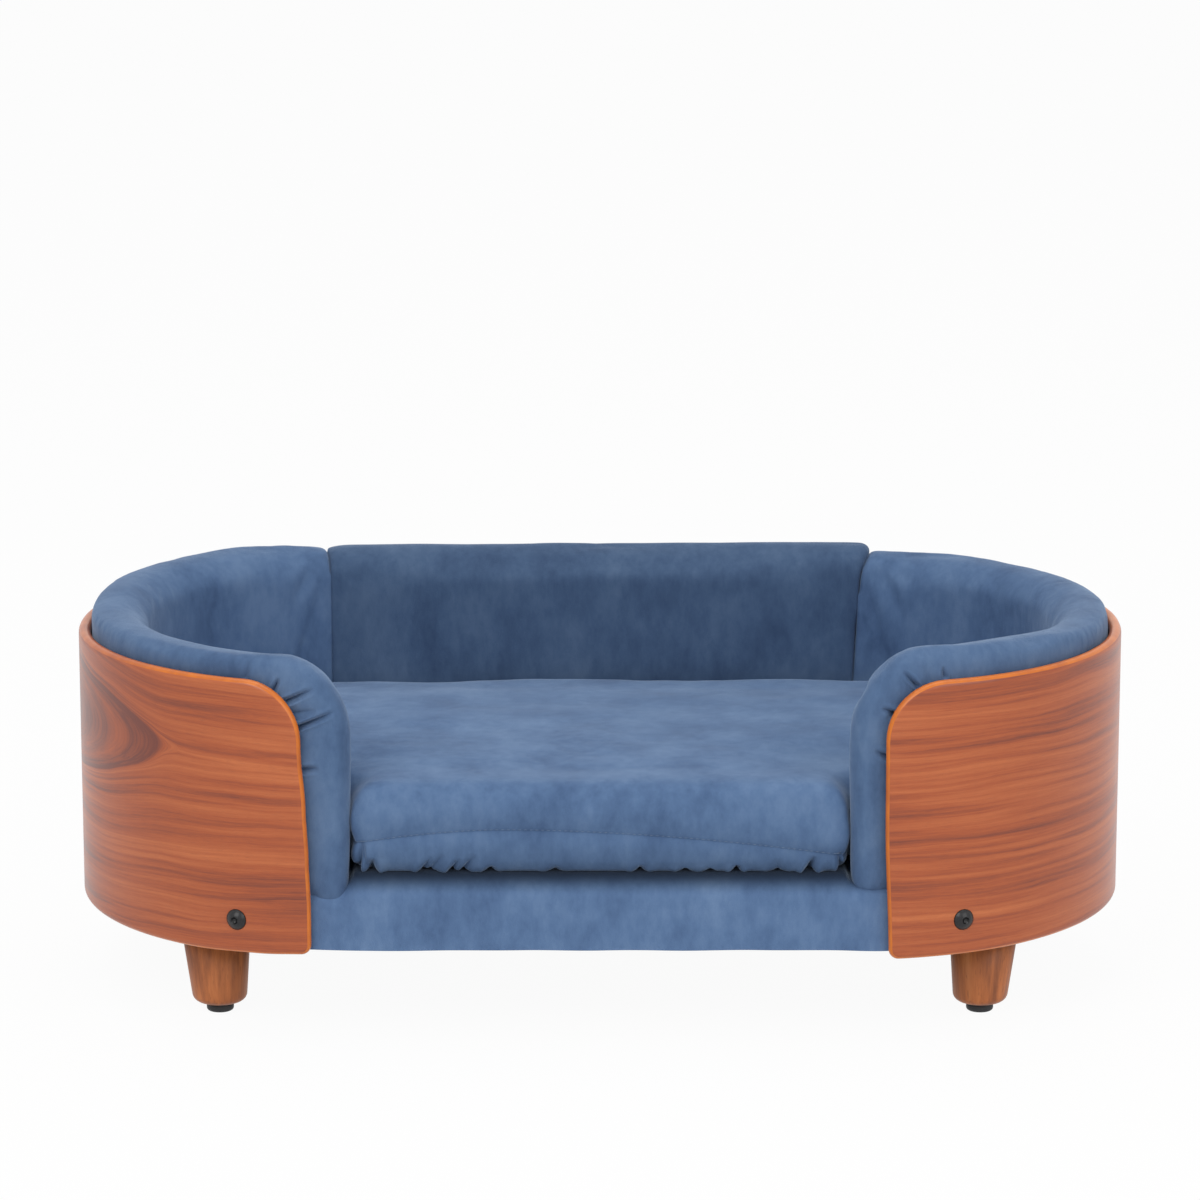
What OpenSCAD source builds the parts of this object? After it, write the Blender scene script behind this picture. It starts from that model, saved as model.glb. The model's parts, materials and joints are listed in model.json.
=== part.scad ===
// Raised oval pet sofa with bent plywood wings, padded bolsters and a loose seat cushion.
// Origin at the floor under the middle. The open front faces -Y and +Z is up.

/* [Overall] */
// Width over the outer faces of the two wings
bed_width = 950; // [860:10:1200]
// Depth from the front of the wings to the back of the back panel
bed_depth = 495; // [495:5:640]
// Height of the top edge of the wood above the floor
rim_height = 326; // [310:2:380]
// Radius of the four corners in plan, on the outer face of the wood. Half the depth at most
corner_radius = 245; // [225:1:247]

/* [Wood panels] */
// Thickness of the bent plywood
panel_thickness = 11; // [8:0.5:14]
// Height of the lower edge of the panels above the floor
panel_bottom = 80; // [70:1:84]
// How far each wing reaches in from the side at its front and rear ends
wing_reach = 221; // [205:1:232]
// Radius of the upper corners of the panels
panel_top_corner = 53; // [35:1:70]
// Radius of the lower corners of the panels
panel_low_corner = 9; // [8:1:20]
// Gap between a wing and the back panel
panel_gap = 3; // [2:0.5:8]

/* [Bolsters] */
// Thickness of a bolster from the wood to its inner face
bolster_thickness = 50; // [40:1:60]
// Height of the bolster's crest above the wood
bolster_rise = 24; // [12:1:30]
// How far the front end of a bolster reaches past the wood
bolster_overhang = 38; // [30:1:60]
// Radius of the upper front corner of a side bolster
bolster_corner = 68; // [40:1:90]
// Width of the back bolster between its seams, along the back
back_bolster_width = 526; // [480:2:600]
// How much the inner face bellies out between the ends of a bolster
bolster_belly = 3; // [0:0.5:6]
// Thickness of the bent backing board inside a bolster
board_thickness = 4; // [3:0.5:6]

/* [Seat cushion] */
// Height of the cushion's side from its bottom to the stitched seam
cushion_side = 34; // [26:1:50]
// Rise of the crown above the stitched seam
cushion_crown = 43; // [18:1:55]
// How far the cushion's front lies behind the front of the base
cushion_setback = 12; // [4:1:30]
// Free space between the cushion and the bolsters
cushion_clearance = 2; // [1:0.5:5]
// Length of the zip along the back of the cushion
zip_length = 420; // [300:10:440]

/* [Base] */
// Height of the base's underside above the floor
base_bottom = 84; // [80:1:110]
// Height of the wooden rails
rail_height = 42; // [36:1:60]
// Thickness of the wooden rails
rail_thickness = 18; // [15:1:24]
// Thickness of the plywood deck
deck_thickness = 9; // [6:0.5:15]
// Thickness of the foam on the deck
deck_foam_height = 12.5; // [8:0.5:25]
// Thickness of the velvet with its backing
fabric = 1.5; // [1:0.1:2.5]
// Radius of the padded front edge of the base
front_edge_radius = 10; // [5:0.5:12]

/* [Legs] */
// Diameter of a leg where it meets the base
leg_top_diameter = 64; // [50:1:68]
// Diameter of a leg at its foot
leg_foot_diameter = 48; // [34:1:60]
// Distance of a leg's centre from the outer face of the wood
leg_inset = 61; // [58:1:90]
// Angle of a leg round the corner, from the front or back
leg_angle = 38.5; // [30:0.5:55]
// Diameter of a floor glide
glide_diameter = 26; // [18:1:32]
// Height of a floor glide
glide_height = 9; // [6:0.5:15]

/* [Fasteners] */
// Diameter of a panel bolt and of a leg's hanger bolt
bolt_diameter = 8; // [6:1:8]
// Diameter of a panel bolt's domed head
bolt_head_diameter = 18; // [14:0.5:20]
// Height of a panel bolt above the lower edge of the wood
bolt_height = 32; // [24:1:38]
// Angle of a wing bolt round the corner, from the front or back
bolt_angle = 21.5; // [12:0.5:30]
// Distance of each back bolt from the end of the straight back
back_bolt_inset = 50; // [20:1:100]

/* [Hidden] */

// Clearances between pieces
panel_clearance = 0.5;
fit_clearance = 0.3;
bore_clearance = 0.1;
overrun = 1;

// Plan of the bed, from the outer face of the wood
half_width = bed_width / 2;
half_depth = bed_depth / 2;
plan_radius = min(corner_radius, half_depth);
front_run = half_width - plan_radius;
back_bolt_place = front_run - back_bolt_inset;
half_side = half_depth - plan_radius;
arc_run = plan_radius * PI / 2;
half_run = 2 * front_run + 2 * arc_run + 2 * half_side;

// Insets of the layers from the outer face of the wood
cover_inset = panel_thickness + panel_clearance;
rail_inset = cover_inset + fabric + fit_clearance;
rail_inner_inset = rail_inset + rail_thickness;
bolster_inset = cover_inset + bolster_thickness;
cushion_inset = bolster_inset + cushion_clearance;

// Levels above the floor
frame_bottom = base_bottom + fabric;
deck_bottom = frame_bottom + rail_height;
deck_top = deck_bottom + deck_thickness;
bolster_bottom = deck_top + fabric + fit_clearance;
platform_top = deck_top + deck_foam_height + fabric;
cushion_bottom = platform_top + fit_clearance;
bolster_top = rim_height + bolster_rise;
bolt_level = panel_bottom + bolt_height;

// Ends of the pieces along the outer face, measured from the middle of the front
wing_start = half_width - wing_reach;
wing_end = half_run - wing_start;
back_panel_half = wing_start - panel_gap;
bolster_start = wing_start - bolster_overhang;
bolster_end = half_run - back_bolster_width / 2;
seam_gap = fit_clearance * 2;

// Tongue of the base and of the cushion between the front ends of the bolsters
platform_half = bolster_start - cushion_clearance;
cushion_front = half_depth - cover_inset - cushion_setback;

// Roundings of the bolsters
bolster_outer_round = 15;
bolster_inner_round = 30;
bolster_low_round = 10;
bolster_end_round = 20;
seam_round = 7;
seam_corner = 10;

// Filling of a bolster: wadding left round the foam, and where the foam starts in the front corner
wadding = 5;
wadding_top = 34;
foam_start_share = 0.45;

// Cushion profile: shares of the side height and of the side's rounding, from the bottom up
side_round = 8;
side_shares = [[0, 1], [0.12, 0.35], [0.42, 0], [0.8, 0.12], [1, 0.6]];
// Cushion crown: shares of the crown's height and of the way to the middle
crown_shares = [[0.22, 0.012], [0.52, 0.045], [0.74, 0.1], [0.88, 0.2], [0.96, 0.38], [1, 0.7]];
cushion_front_corner = 14;
cushion_neck_corner = 18;
cushion_wall = 2;
foam_slab_inset = 14;
foam_slab_lift = 6;

// Zip in the back of the cushion
zip_slit = 12;
zip_tape_height = 16;
zip_tape_end = 5;
zip_tape = 1;
zip_sink_share = 0.25;
zip_coil_radius = 1.3;
slider_length = 11;
slider_height = 9;
slider_gap = 0.2;
tab_length = 14;
tab_height = 5;
tab_thickness = 1;

// Leg hardware
plate_size = 42;
plate_thickness = 2.5;
plate_corner = 5;
boss_diameter = 14;
boss_height = 10;
boss_room = 3;
plate_screw_share = 0.35;
screw_diameter = 4;
screw_head_diameter = 7.5;
screw_head_height = 1.8;
screw_length = 22;
hanger_in_leg = 40;
leg_round = 6;
block_size = 84;
dust_cover_room = 1.5;
glide_screw_length = 25;
glide_recess = 4;
glide_recess_diameter = 10;
glide_screw_head = 2.5;
glide_round = 2.5;

// Panel bolts and inserts
bolt_head_height = 5;
bolt_length = 29;
socket_across = 6;
socket_depth = 3;
insert_diameter = 12;
insert_length = 15;

// Steps of the lofted shapes
panel_step = 24;
bolster_step = 30;
corner_steps = 6;
arc_steps = 6;
$fn = 72;

walnut = [0.62, 0.33, 0.22];
velvet = [0.35, 0.46, 0.60];
pine = [0.84, 0.70, 0.50];
plywood = [0.78, 0.62, 0.42];
foam_yellow = [0.93, 0.88, 0.70];
white_fibre = [0.94, 0.94, 0.92];
black_steel = [0.09, 0.09, 0.10];
zinc = [0.72, 0.73, 0.74];
leg_brown = [0.57, 0.34, 0.21];

// Point on the right half of the plan, run along the outer face, inset inwards
function right_spot(run, inset, z) =
    let (a1 = (run - front_run) / plan_radius * 180 / PI,
         a2 = (run - front_run - arc_run - 2 * half_side) / plan_radius * 180 / PI,
         r = plan_radius - inset)
    run <= front_run ? [run, inset - half_depth, z] :
    run <= front_run + arc_run ? [front_run + r * sin(a1), -half_side - r * cos(a1), z] :
    run <= front_run + arc_run + 2 * half_side ?
        [half_width - inset, run - front_run - arc_run - half_side, z] :
    run <= half_run - front_run ? [front_run + r * cos(a2), half_side + r * sin(a2), z] :
    [half_run - run, half_depth - inset, z];

// The same point on the whole plan: past the middle of the back it runs on along the left
function spot(run, inset, z) =
    run <= half_run ? right_spot(run, inset, z) :
    let (p = right_spot(2 * half_run - run, inset, z)) [-p[0], p[1], p[2]];

// How far a quarter round of radius r has fallen at distance e from its end
function fall(e, r) = e >= r ? 0 : r - sqrt(max(0, r * r - (r - e) * (r - e)));

function middle(points) = [for (i = [0:2]) sum([for (p = points) p[i]]) / len(points)];
function sum(v, i = 0) = i < len(v) ? v[i] + sum(v, i + 1) : 0;

// Closed solid through rings of equal count. Its ends are fans to a middle point.
module fan_skin(rings) {
    n = len(rings[0]);
    m = len(rings);
    points = concat([for (r = rings) each r], [middle(rings[0]), middle(rings[m - 1])]);
    sides = [for (i = [0:m - 2], k = [0:n - 1]) let (a = i * n + k, b = i * n + (k + 1) % n)
        each [[a, b, b + n], [a, b + n, a + n]]];
    first = [for (k = [0:n - 1]) [(k + 1) % n, k, m * n]];
    last = [for (k = [0:n - 1]) [(m - 1) * n + k, (m - 1) * n + (k + 1) % n, m * n + 1]];
    polyhedron(points, concat(sides, first, last), convexity = 6);
}

// Closed solid through loops whose two halves run side by side. Its ends are strips between the halves.
module strip_skin(loops) {
    n = len(loops[0]);
    m = len(loops);
    sides = [for (i = [0:m - 2], k = [0:n - 1]) let (a = i * n + k, b = i * n + (k + 1) % n)
        each [[a, b, b + n], [a, b + n, a + n]]];
    strip = [for (j = [0:n / 2 - 2]) each [[j, n - 1 - j, n - 2 - j], [j, n - 2 - j, j + 1]]];
    last = [for (f = strip) [for (i = [2:-1:0]) (m - 1) * n + f[i]]];
    polyhedron([for (r = loops) each r], concat(sides, strip, last), convexity = 6);
}

// Corner k of a panel for an edge that lies e inside the outline: way in from the end, and way in from the edge
function upper_corner(k, e) =
    let (a = 90 * k / corner_steps, r = panel_top_corner - e)
    [e + r * (1 - cos(a)), e + r * (1 - sin(a))];

// The lower corner's points stand under the upper corner's on the flat face
function lower_corner(k, e) =
    let (half = panel_thickness / 2,
         column = upper_corner(k, half)[0],
         c = 1 - (column - half) / (panel_low_corner - half),
         r = panel_low_corner - e)
    c > 0 ? [e + r * (1 - c), e + r * (1 - sin(acos(c)))] : [column, e];

function panel_edge(start, end, e, corner) =
    let (n = len(corner),
         lead = start + panel_top_corner,
         length = end - start - 2 * panel_top_corner,
         steps = round(length / panel_step))
    concat([for (c = corner) [start + c[0], c[1]]],
        [for (i = [1:steps - 1]) [lead + length * i / steps, e]],
        [for (k = [n - 1:-1:0]) [end - corner[k][0], corner[k][1]]]);

// One loop of a panel, e inside its outline and inset from its outer face
function panel_loop(start, end, e, inset) =
    let (low = panel_edge(start, end, e, [for (k = [0:corner_steps]) lower_corner(k, e)]),
         high = panel_edge(start, end, e, [for (k = [0:corner_steps]) upper_corner(k, e)]))
    concat([for (p = low) spot(p[0], inset, panel_bottom + p[1])],
        [for (i = [len(high) - 1:-1:0]) spot(high[i][0], inset, rim_height - high[i][1])]);

// Bent plywood panel with rounded corners and half-round edges all round
module bent_panel(start, end) {
    half = panel_thickness / 2;
    strip_skin([for (a = [90:-30:-90]) panel_loop(start, end, half * (1 - cos(a)), half - half * sin(a))]);
}

// Section of a bolster as a closed ring: outer and inner inset, bottom and top
function bolster_ring(run, outer, inner, low, top) =
    let (half = (inner - outer) / 2,
         ro = min(bolster_outer_round, half * 0.8),
         ri = min(bolster_inner_round, half * 1.1),
         rl = min(bolster_low_round, half * 0.8),
         waist = (low + top) / 2)
    concat(
        [spot(run, outer, waist)],
        [for (a = [0:30:90]) spot(run, outer + ro * (1 - cos(a)), top - ro * (1 - sin(a)))],
        [for (a = [0:30:90]) spot(run, inner - ri * (1 - sin(a)), top - ri * (1 - cos(a)))],
        [spot(run, inner, waist)],
        [for (a = [0:30:90]) spot(run, inner - rl * (1 - cos(a)), low + rl * (1 - sin(a)))],
        [for (a = [0:30:90]) spot(run, outer + rl * (1 - sin(a)), low + rl * (1 - cos(a)))]
    );

// Bolster between two runs, with the corner radius and the edge rounding of each of its ends
module bolster(start, end, corners, rounds) {
    angles = [0, 12, 24, 37, 50, 63, 76, 90];
    lead = [for (a = angles) start + corners[0] * (1 - cos(a))];
    tail = [for (i = [len(angles) - 1:-1:0]) end - corners[1] * (1 - cos(angles[i]))];
    length = end - start - corners[0] - corners[1];
    steps = round(length / bolster_step);
    along = [for (i = [1:steps - 1]) start + corners[0] + length * i / steps];
    fan_skin([for (run = concat(lead, along, tail))
        let (e0 = run - start,
             e1 = end - run,
             squeeze = fall(e0, rounds[0]) + fall(e1, rounds[1]),
             drop = fall(e0, corners[0]) + fall(e1, corners[1]),
             lift = fall(e0, bolster_low_round) + fall(e1, bolster_low_round),
             hollow = bolster_belly * (1 - sin(180 * e0 / (end - start))))
        bolster_ring(run, cover_inset + squeeze, bolster_inset - hollow - squeeze,
            bolster_bottom + lift, bolster_top - drop)]);
}

// Plan of the bed, inset from the outer face of the wood
module outline(inset) {
    r = plan_radius - inset;
    square([2 * front_run, 2 * (half_depth - inset)], center = true);
    square([2 * (half_width - inset), 2 * half_side], center = true);
    for (x = [-1, 1], y = [-1, 1])
        translate([x * front_run, y * half_side]) circle(r);
}

module ring(outer, inner, low, top) {
    translate([0, 0, low]) linear_extrude(top - low) difference() {
        outline(outer);
        outline(inner);
    }
}

// Parts of the plan: right of one limit in the front half and of another in the rear half, and the back
module right_zone(front_limit, rear_limit) {
    translate([front_limit, -bed_depth, 0]) cube([bed_width, bed_depth, bolster_top]);
    translate([rear_limit, 0, 0]) cube([bed_width, bed_depth, bolster_top]);
}

module back_zone(limit) {
    translate([-limit, 0, 0]) cube([2 * limit, bed_depth, bolster_top]);
}

// Foam and backing board of a bolster all round the bed, grown by the room that they need in the cover
module foam_ring(grow) {
    ring(cover_inset + wadding + board_thickness - grow,
        bolster_inset - bolster_belly - wadding + grow,
        bolster_bottom + wadding - grow, bolster_top - wadding_top + grow);
}

module board_ring(grow) {
    ring(cover_inset + wadding / 2 - grow, cover_inset + wadding / 2 + board_thickness + grow,
        bolster_bottom + wadding - grow, rim_height - panel_top_corner / 2 + grow);
}

module side_zone(grow) {
    right_zone(bolster_start + max(bolster_corner * foam_start_share, bolster_end_round + wadding) - grow,
        back_bolster_width / 2 + seam_corner + wadding - grow);
}

module side_bolster_cover() {
    difference() {
        bolster(bolster_start, bolster_end - seam_gap / 2, [bolster_corner, seam_corner],
            [bolster_end_round, seam_round]);
        intersection() {
            foam_ring(fit_clearance);
            side_zone(fit_clearance);
        }
        intersection() {
            board_ring(fit_clearance);
            side_zone(fit_clearance);
        }
    }
}

module side_bolster_foam() {
    intersection() {
        foam_ring(0);
        side_zone(0);
    }
}

module side_bolster_board() {
    intersection() {
        board_ring(0);
        side_zone(0);
    }
}

back_filling_half = back_bolster_width / 2 - seam_corner - wadding;

// Wing pieces: modelled on the right and mirrored to the left
module right_wing_panel() {
    color(walnut) difference() {
        bent_panel(wing_start, wing_end);
        for (y = [-1, 1])
            at_corner(1, y, bolt_angle) bolt_bore(bolt_diameter / 2 + fit_clearance);
    }
}

module left_wing_panel() {
    mirror([1, 0, 0]) right_wing_panel();
}

module right_bolster_cover() {
    color(velvet) side_bolster_cover();
}

module left_bolster_cover() {
    mirror([1, 0, 0]) right_bolster_cover();
}

module right_bolster_foam() {
    color(foam_yellow) side_bolster_foam();
}

module left_bolster_foam() {
    mirror([1, 0, 0]) right_bolster_foam();
}

module right_bolster_board() {
    color(plywood) side_bolster_board();
}

module left_bolster_board() {
    mirror([1, 0, 0]) right_bolster_board();
}

// Back pieces, between the rear ends of the wings
module back_panel() {
    color(walnut) difference() {
        bent_panel(half_run - back_panel_half, half_run + back_panel_half);
        for (x = [-1, 1])
            at_back(x * back_bolt_place) bolt_bore(bolt_diameter / 2 + fit_clearance);
    }
}

module back_bolster_cover() {
    color(velvet) difference() {
        bolster(bolster_end + seam_gap / 2, 2 * half_run - bolster_end - seam_gap / 2,
            [seam_corner, seam_corner], [seam_round, seam_round]);
        intersection() {
            foam_ring(fit_clearance);
            back_zone(back_filling_half + fit_clearance);
        }
        intersection() {
            board_ring(fit_clearance);
            back_zone(back_filling_half + fit_clearance);
        }
    }
}

module back_bolster_foam() {
    color(foam_yellow) intersection() {
        foam_ring(0);
        back_zone(back_filling_half);
    }
}

module back_bolster_board() {
    color(plywood) intersection() {
        board_ring(0);
        back_zone(back_filling_half);
    }
}

// Half outline of the cushion from the middle of the back to the middle of the front
function cushion_half(inset) =
    let (quarter = [for (i = [0:arc_steps]) 90 * i / arc_steps],
         r = plan_radius - cushion_inset - inset,
         tongue = platform_half - inset,
         neck = min(cushion_neck_corner, front_run - platform_half) + inset,
         corner = max(cushion_front_corner - inset, cushion_front_corner / 4),
         front = cushion_front - inset,
         neck_y = half_depth - cushion_inset - inset)
    concat(
        [for (a = quarter) [front_run + r * sin(a), half_side + r * cos(a)]],
        [for (a = quarter) [front_run + r * cos(a), -half_side - r * sin(a)]],
        [for (a = [0, 45, 90]) [tongue + neck * (1 - sin(a)), -neck_y - neck * (1 - cos(a))]],
        [for (a = [0, 45, 90]) [tongue - corner * (1 - cos(a)), -front + corner * (1 - sin(a))]]
    );

function cushion_outline(inset) =
    let (half = cushion_half(inset), n = len(half))
    concat([[0, half_depth - cushion_inset - inset]], half,
        [[0, inset - cushion_front]],
        [for (i = [n - 1:-1:0]) [-half[i][0], half[i][1]]]);

function level(points, z, pull = 0) = [for (p = points) [p[0] * (1 - pull), p[1] * (1 - pull), z]];

// Crowned cushion shape, shrunk by the thickness of what lies over it
module cushion_form(shrink) {
    low = cushion_bottom + shrink;
    seam = cushion_bottom + cushion_side;
    edge = cushion_outline(side_round * side_shares[len(side_shares) - 1][1] + shrink);
    fan_skin(concat(
        [for (s = side_shares) level(cushion_outline(side_round * s[1] + shrink), low + (seam - low) * s[0])],
        [for (s = crown_shares) level(edge, seam + (cushion_crown - shrink) * s[0], s[1])]));
}

zip_sink = side_round * zip_sink_share;
zip_y = half_depth - cushion_inset - cushion_wall - fit_clearance - zip_sink;
zip_level = cushion_bottom + cushion_side / 2;

// Block behind or in the cushion's back, from a depth outwards
module zip_block(length, depth, reach, height) {
    translate([-length / 2, zip_y - depth, zip_level - height / 2]) cube([length, depth + reach, height]);
}

module seat_cushion_cover() {
    color(velvet) difference() {
        cushion_form(0);
        cushion_form(cushion_wall);
        zip_block(zip_length, 0, zip_sink + cushion_wall + overrun, zip_slit);
    }
}

module foam_slab(grow) {
    translate([0, 0, cushion_bottom + foam_slab_lift - grow])
        linear_extrude(cushion_side - foam_slab_lift + 2 * grow) polygon(cushion_outline(foam_slab_inset - grow));
}

module seat_cushion_filling() {
    room = 2 * fit_clearance;
    color(white_fibre) difference() {
        cushion_form(cushion_wall + fit_clearance);
        foam_slab(fit_clearance);
        zip_block(zip_length + 2 * zip_tape_end + room, zip_tape + fit_clearance, zip_sink + overrun,
            zip_tape_height + room);
    }
}

module seat_cushion_foam() {
    color(foam_yellow) foam_slab(0);
}

module zip_line(length, radius, start) {
    translate([start, zip_y, zip_level]) rotate([0, 90, 0]) cylinder(h = length, r = radius);
}

module seat_zip() {
    color(velvet) union() {
        zip_block(zip_length + 2 * zip_tape_end, zip_tape, 0, zip_tape_height);
        zip_line(zip_length - 2 * fit_clearance, zip_coil_radius, fit_clearance - zip_length / 2);
    }
}

// Slider at the closed end of the zip, with its pull tab lying along the slit
module zip_slider() {
    left = slider_gap + fit_clearance - zip_length / 2;
    reach = zip_sink + cushion_wall;
    color(zinc) difference() {
        union() {
            translate([left, zip_y + slider_gap, zip_level - slider_height / 2])
                cube([slider_length, reach - slider_gap, slider_height]);
            translate([left + slider_length / 2, zip_y + reach - tab_thickness, zip_level - tab_height / 2])
                cube([slider_length / 2 + tab_length, tab_thickness, tab_height]);
        }
        zip_line(slider_length + tab_length + 2 * overrun, zip_coil_radius + slider_gap, left - overrun);
    }
}

// Wooden frame of the base
module straight_rail(side) {
    translate([-front_run, side * (half_depth - rail_inset - rail_thickness / 2) - rail_thickness / 2, frame_bottom])
        cube([2 * front_run, rail_thickness, rail_height]);
}

module base_front_rail() {
    color(pine) straight_rail(-1);
}

module base_back_rail() {
    color(pine) difference() {
        straight_rail(1);
        for (x = [-1, 1])
            at_back(x * back_bolt_place) bolt_bore(insert_diameter / 2 + bore_clearance);
    }
}

module base_right_end_rail() {
    color(pine) difference() {
        intersection() {
            ring(rail_inset, rail_inner_inset, frame_bottom, deck_bottom);
            right_zone(front_run, front_run);
        }
        for (y = [-1, 1])
            at_corner(1, y, bolt_angle) bolt_bore(insert_diameter / 2 + bore_clearance);
    }
}

module base_left_end_rail() {
    mirror([1, 0, 0]) base_right_end_rail();
}

module cross_rail(x) {
    inner = half_depth - rail_inner_inset;
    color(pine) translate([x - rail_thickness / 2, -inner, frame_bottom])
        cube([rail_thickness, 2 * inner, rail_height]);
}

module base_left_cross_rail() {
    cross_rail(rail_thickness - front_run);
}

module base_middle_rail() {
    cross_rail(0);
}

module base_right_cross_rail() {
    cross_rail(front_run - rail_thickness);
}

module base_deck() {
    color(plywood) translate([0, 0, deck_bottom]) linear_extrude(deck_thickness) outline(rail_inset);
}

// Raised middle of the base, between the bolsters, with its rounded front edge
module platform(inset, low, top, edge_round) {
    front = half_depth - cover_inset - inset;
    half = platform_half - inset;
    difference() {
        translate([0, 0, low]) linear_extrude(top - low) union() {
            outline(bolster_inset + cushion_clearance / 2 + inset);
            translate([-half, -front]) square([2 * half, front]);
        }
        translate([0, edge_round - front, top - edge_round]) rotate([90, 0, 90])
            linear_extrude(bed_width, center = true) difference() {
                translate([-edge_round - overrun, 0]) square(edge_round + overrun);
                circle(edge_round);
            }
    }
}

module deck_foam() {
    color(foam_yellow) platform(fabric + fit_clearance, deck_top, platform_top - fabric,
        front_edge_radius - fabric);
}

module base_cover() {
    inner = cover_inset + fabric;
    color(velvet) difference() {
        union() {
            translate([0, 0, base_bottom]) linear_extrude(deck_top + fabric - base_bottom) outline(cover_inset);
            platform(0, base_bottom, platform_top, front_edge_radius);
        }
        translate([0, 0, base_bottom - overrun]) linear_extrude(deck_top - base_bottom + overrun) outline(inner);
        platform(fabric, deck_top - overrun, platform_top - fabric, front_edge_radius - fabric);
        for (x = [-1, 1], y = [-1, 1])
            at_corner(x, y, bolt_angle) bolt_bore(bolt_diameter / 2 + fit_clearance);
        for (x = [-1, 1])
            at_back(x * back_bolt_place) bolt_bore(bolt_diameter / 2 + fit_clearance);
    }
}

module dust_cover() {
    color(black_steel) translate([0, 0, base_bottom]) linear_extrude(fabric) difference() {
        outline(cover_inset + fabric + fit_clearance);
        for (x = [-1, 1], y = [-1, 1])
            translate(leg_spot(x, y)) circle(max(plate_size / sqrt(2), leg_top_diameter / 2) + dust_cover_room);
    }
}

// Places of the legs, on a line out from the middle of each corner's arc
function leg_spot(x, y) =
    let (r = plan_radius - leg_inset)
    [x * (front_run + r * sin(leg_angle)), y * (half_side + r * cos(leg_angle)), 0];

module at_leg(x, y) {
    translate(leg_spot(x, y)) children();
}

module plate_pattern() {
    place = plate_size * plate_screw_share;
    for (x = [-place, place], y = [-place, place])
        translate([x, y, frame_bottom]) children();
}

module leg_block(x, y) {
    bottom = frame_bottom + plate_thickness;
    color(pine) difference() {
        intersection() {
            at_leg(x, y) translate([-block_size / 2, -block_size / 2, bottom])
                cube([block_size, block_size, deck_bottom - bottom]);
            translate([0, 0, frame_bottom]) linear_extrude(rail_height) outline(rail_inner_inset + fit_clearance);
        }
        at_leg(x, y) translate([0, 0, frame_bottom])
            cylinder(h = plate_thickness + boss_height + boss_room, d = boss_diameter + 2 * bore_clearance);
        at_leg(x, y) plate_pattern()
            cylinder(h = screw_length + bore_clearance, d = screw_diameter + 2 * bore_clearance);
    }
}

module screw_sink(grow) {
    cylinder(h = screw_head_height, r1 = screw_head_diameter / 2 + grow, r2 = screw_diameter / 2 + grow);
    cylinder(h = screw_length, d = screw_diameter + 2 * grow);
}

module leg_plate(x, y) {
    arm = plate_size - 2 * plate_corner;
    color(zinc) at_leg(x, y) difference() {
        translate([0, 0, frame_bottom]) union() {
            linear_extrude(plate_thickness) union() {
                square([plate_size, arm], center = true);
                square([arm, plate_size], center = true);
                for (i = [-arm / 2, arm / 2], j = [-arm / 2, arm / 2])
                    translate([i, j]) circle(plate_corner);
            }
            cylinder(h = plate_thickness + boss_height, d = boss_diameter);
        }
        translate([0, 0, frame_bottom - overrun])
            cylinder(h = plate_thickness + boss_height + 2 * overrun, d = bolt_diameter + 2 * bore_clearance);
        plate_pattern() screw_sink(bore_clearance);
    }
}

module plate_screws() {
    color(zinc) for (x = [-1, 1], y = [-1, 1])
        at_leg(x, y) plate_pattern() screw_sink(0);
}

module hanger_bolts() {
    color(zinc) for (x = [-1, 1], y = [-1, 1])
        at_leg(x, y) translate([0, 0, frame_bottom - hanger_in_leg])
            cylinder(h = hanger_in_leg + plate_thickness + boss_height, d = bolt_diameter);
}

// Turned leg: tapered, with a rounded foot, bored for the hanger bolt and for the glide's screw
module leg(x, y) {
    foot = leg_foot_diameter / 2;
    color(leg_brown) at_leg(x, y) difference() {
        rotate_extrude() polygon(concat(
            [[0, glide_height]],
            [for (a = [0:15:90]) [foot - leg_round * (1 - sin(a)), glide_height + leg_round * (1 - cos(a))]],
            [[leg_top_diameter / 2, frame_bottom], [0, frame_bottom]]));
        translate([0, 0, frame_bottom - hanger_in_leg - bore_clearance])
            cylinder(h = hanger_in_leg + overrun, d = bolt_diameter + 2 * bore_clearance);
        cylinder(h = glide_recess + glide_screw_length + bore_clearance, d = screw_diameter + 2 * bore_clearance);
    }
}

module glide(x, y) {
    r = glide_diameter / 2;
    color(black_steel) at_leg(x, y) difference() {
        rotate_extrude() polygon(concat(
            [[0, 0]],
            [for (a = [0:22.5:90]) [r - glide_round * (1 - sin(a)), glide_round * (1 - cos(a))]],
            [[r, glide_height], [0, glide_height]]));
        translate([0, 0, -overrun]) cylinder(h = glide_recess + overrun, d = glide_recess_diameter);
        cylinder(h = glide_height + overrun, d = screw_diameter + 2 * bore_clearance);
    }
}

module glide_screws() {
    color(zinc) for (x = [-1, 1], y = [-1, 1])
        at_leg(x, y) union() {
            translate([0, 0, glide_recess - glide_screw_head])
                cylinder(h = glide_screw_head, d = screw_head_diameter);
            translate([0, 0, glide_recess - glide_screw_head])
                cylinder(h = glide_screw_head + glide_screw_length, d = screw_diameter);
        }
}

// Radial places round a corner and on the back: along the axis, the wood's outer face is at plan_radius
module at_corner(x, y, angle) {
    translate([x * front_run, y * half_side, bolt_level])
        rotate([0, 0, atan2(y * cos(angle), x * sin(angle))]) rotate([0, 90, 0]) children();
}

module at_back(x) {
    translate([x, half_side, bolt_level]) rotate([0, 0, 90]) rotate([0, 90, 0]) children();
}

module bolt_bore(radius) {
    depth = rail_inner_inset + overrun;
    translate([0, 0, plan_radius - depth]) cylinder(h = depth + overrun, r = radius);
}

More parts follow.
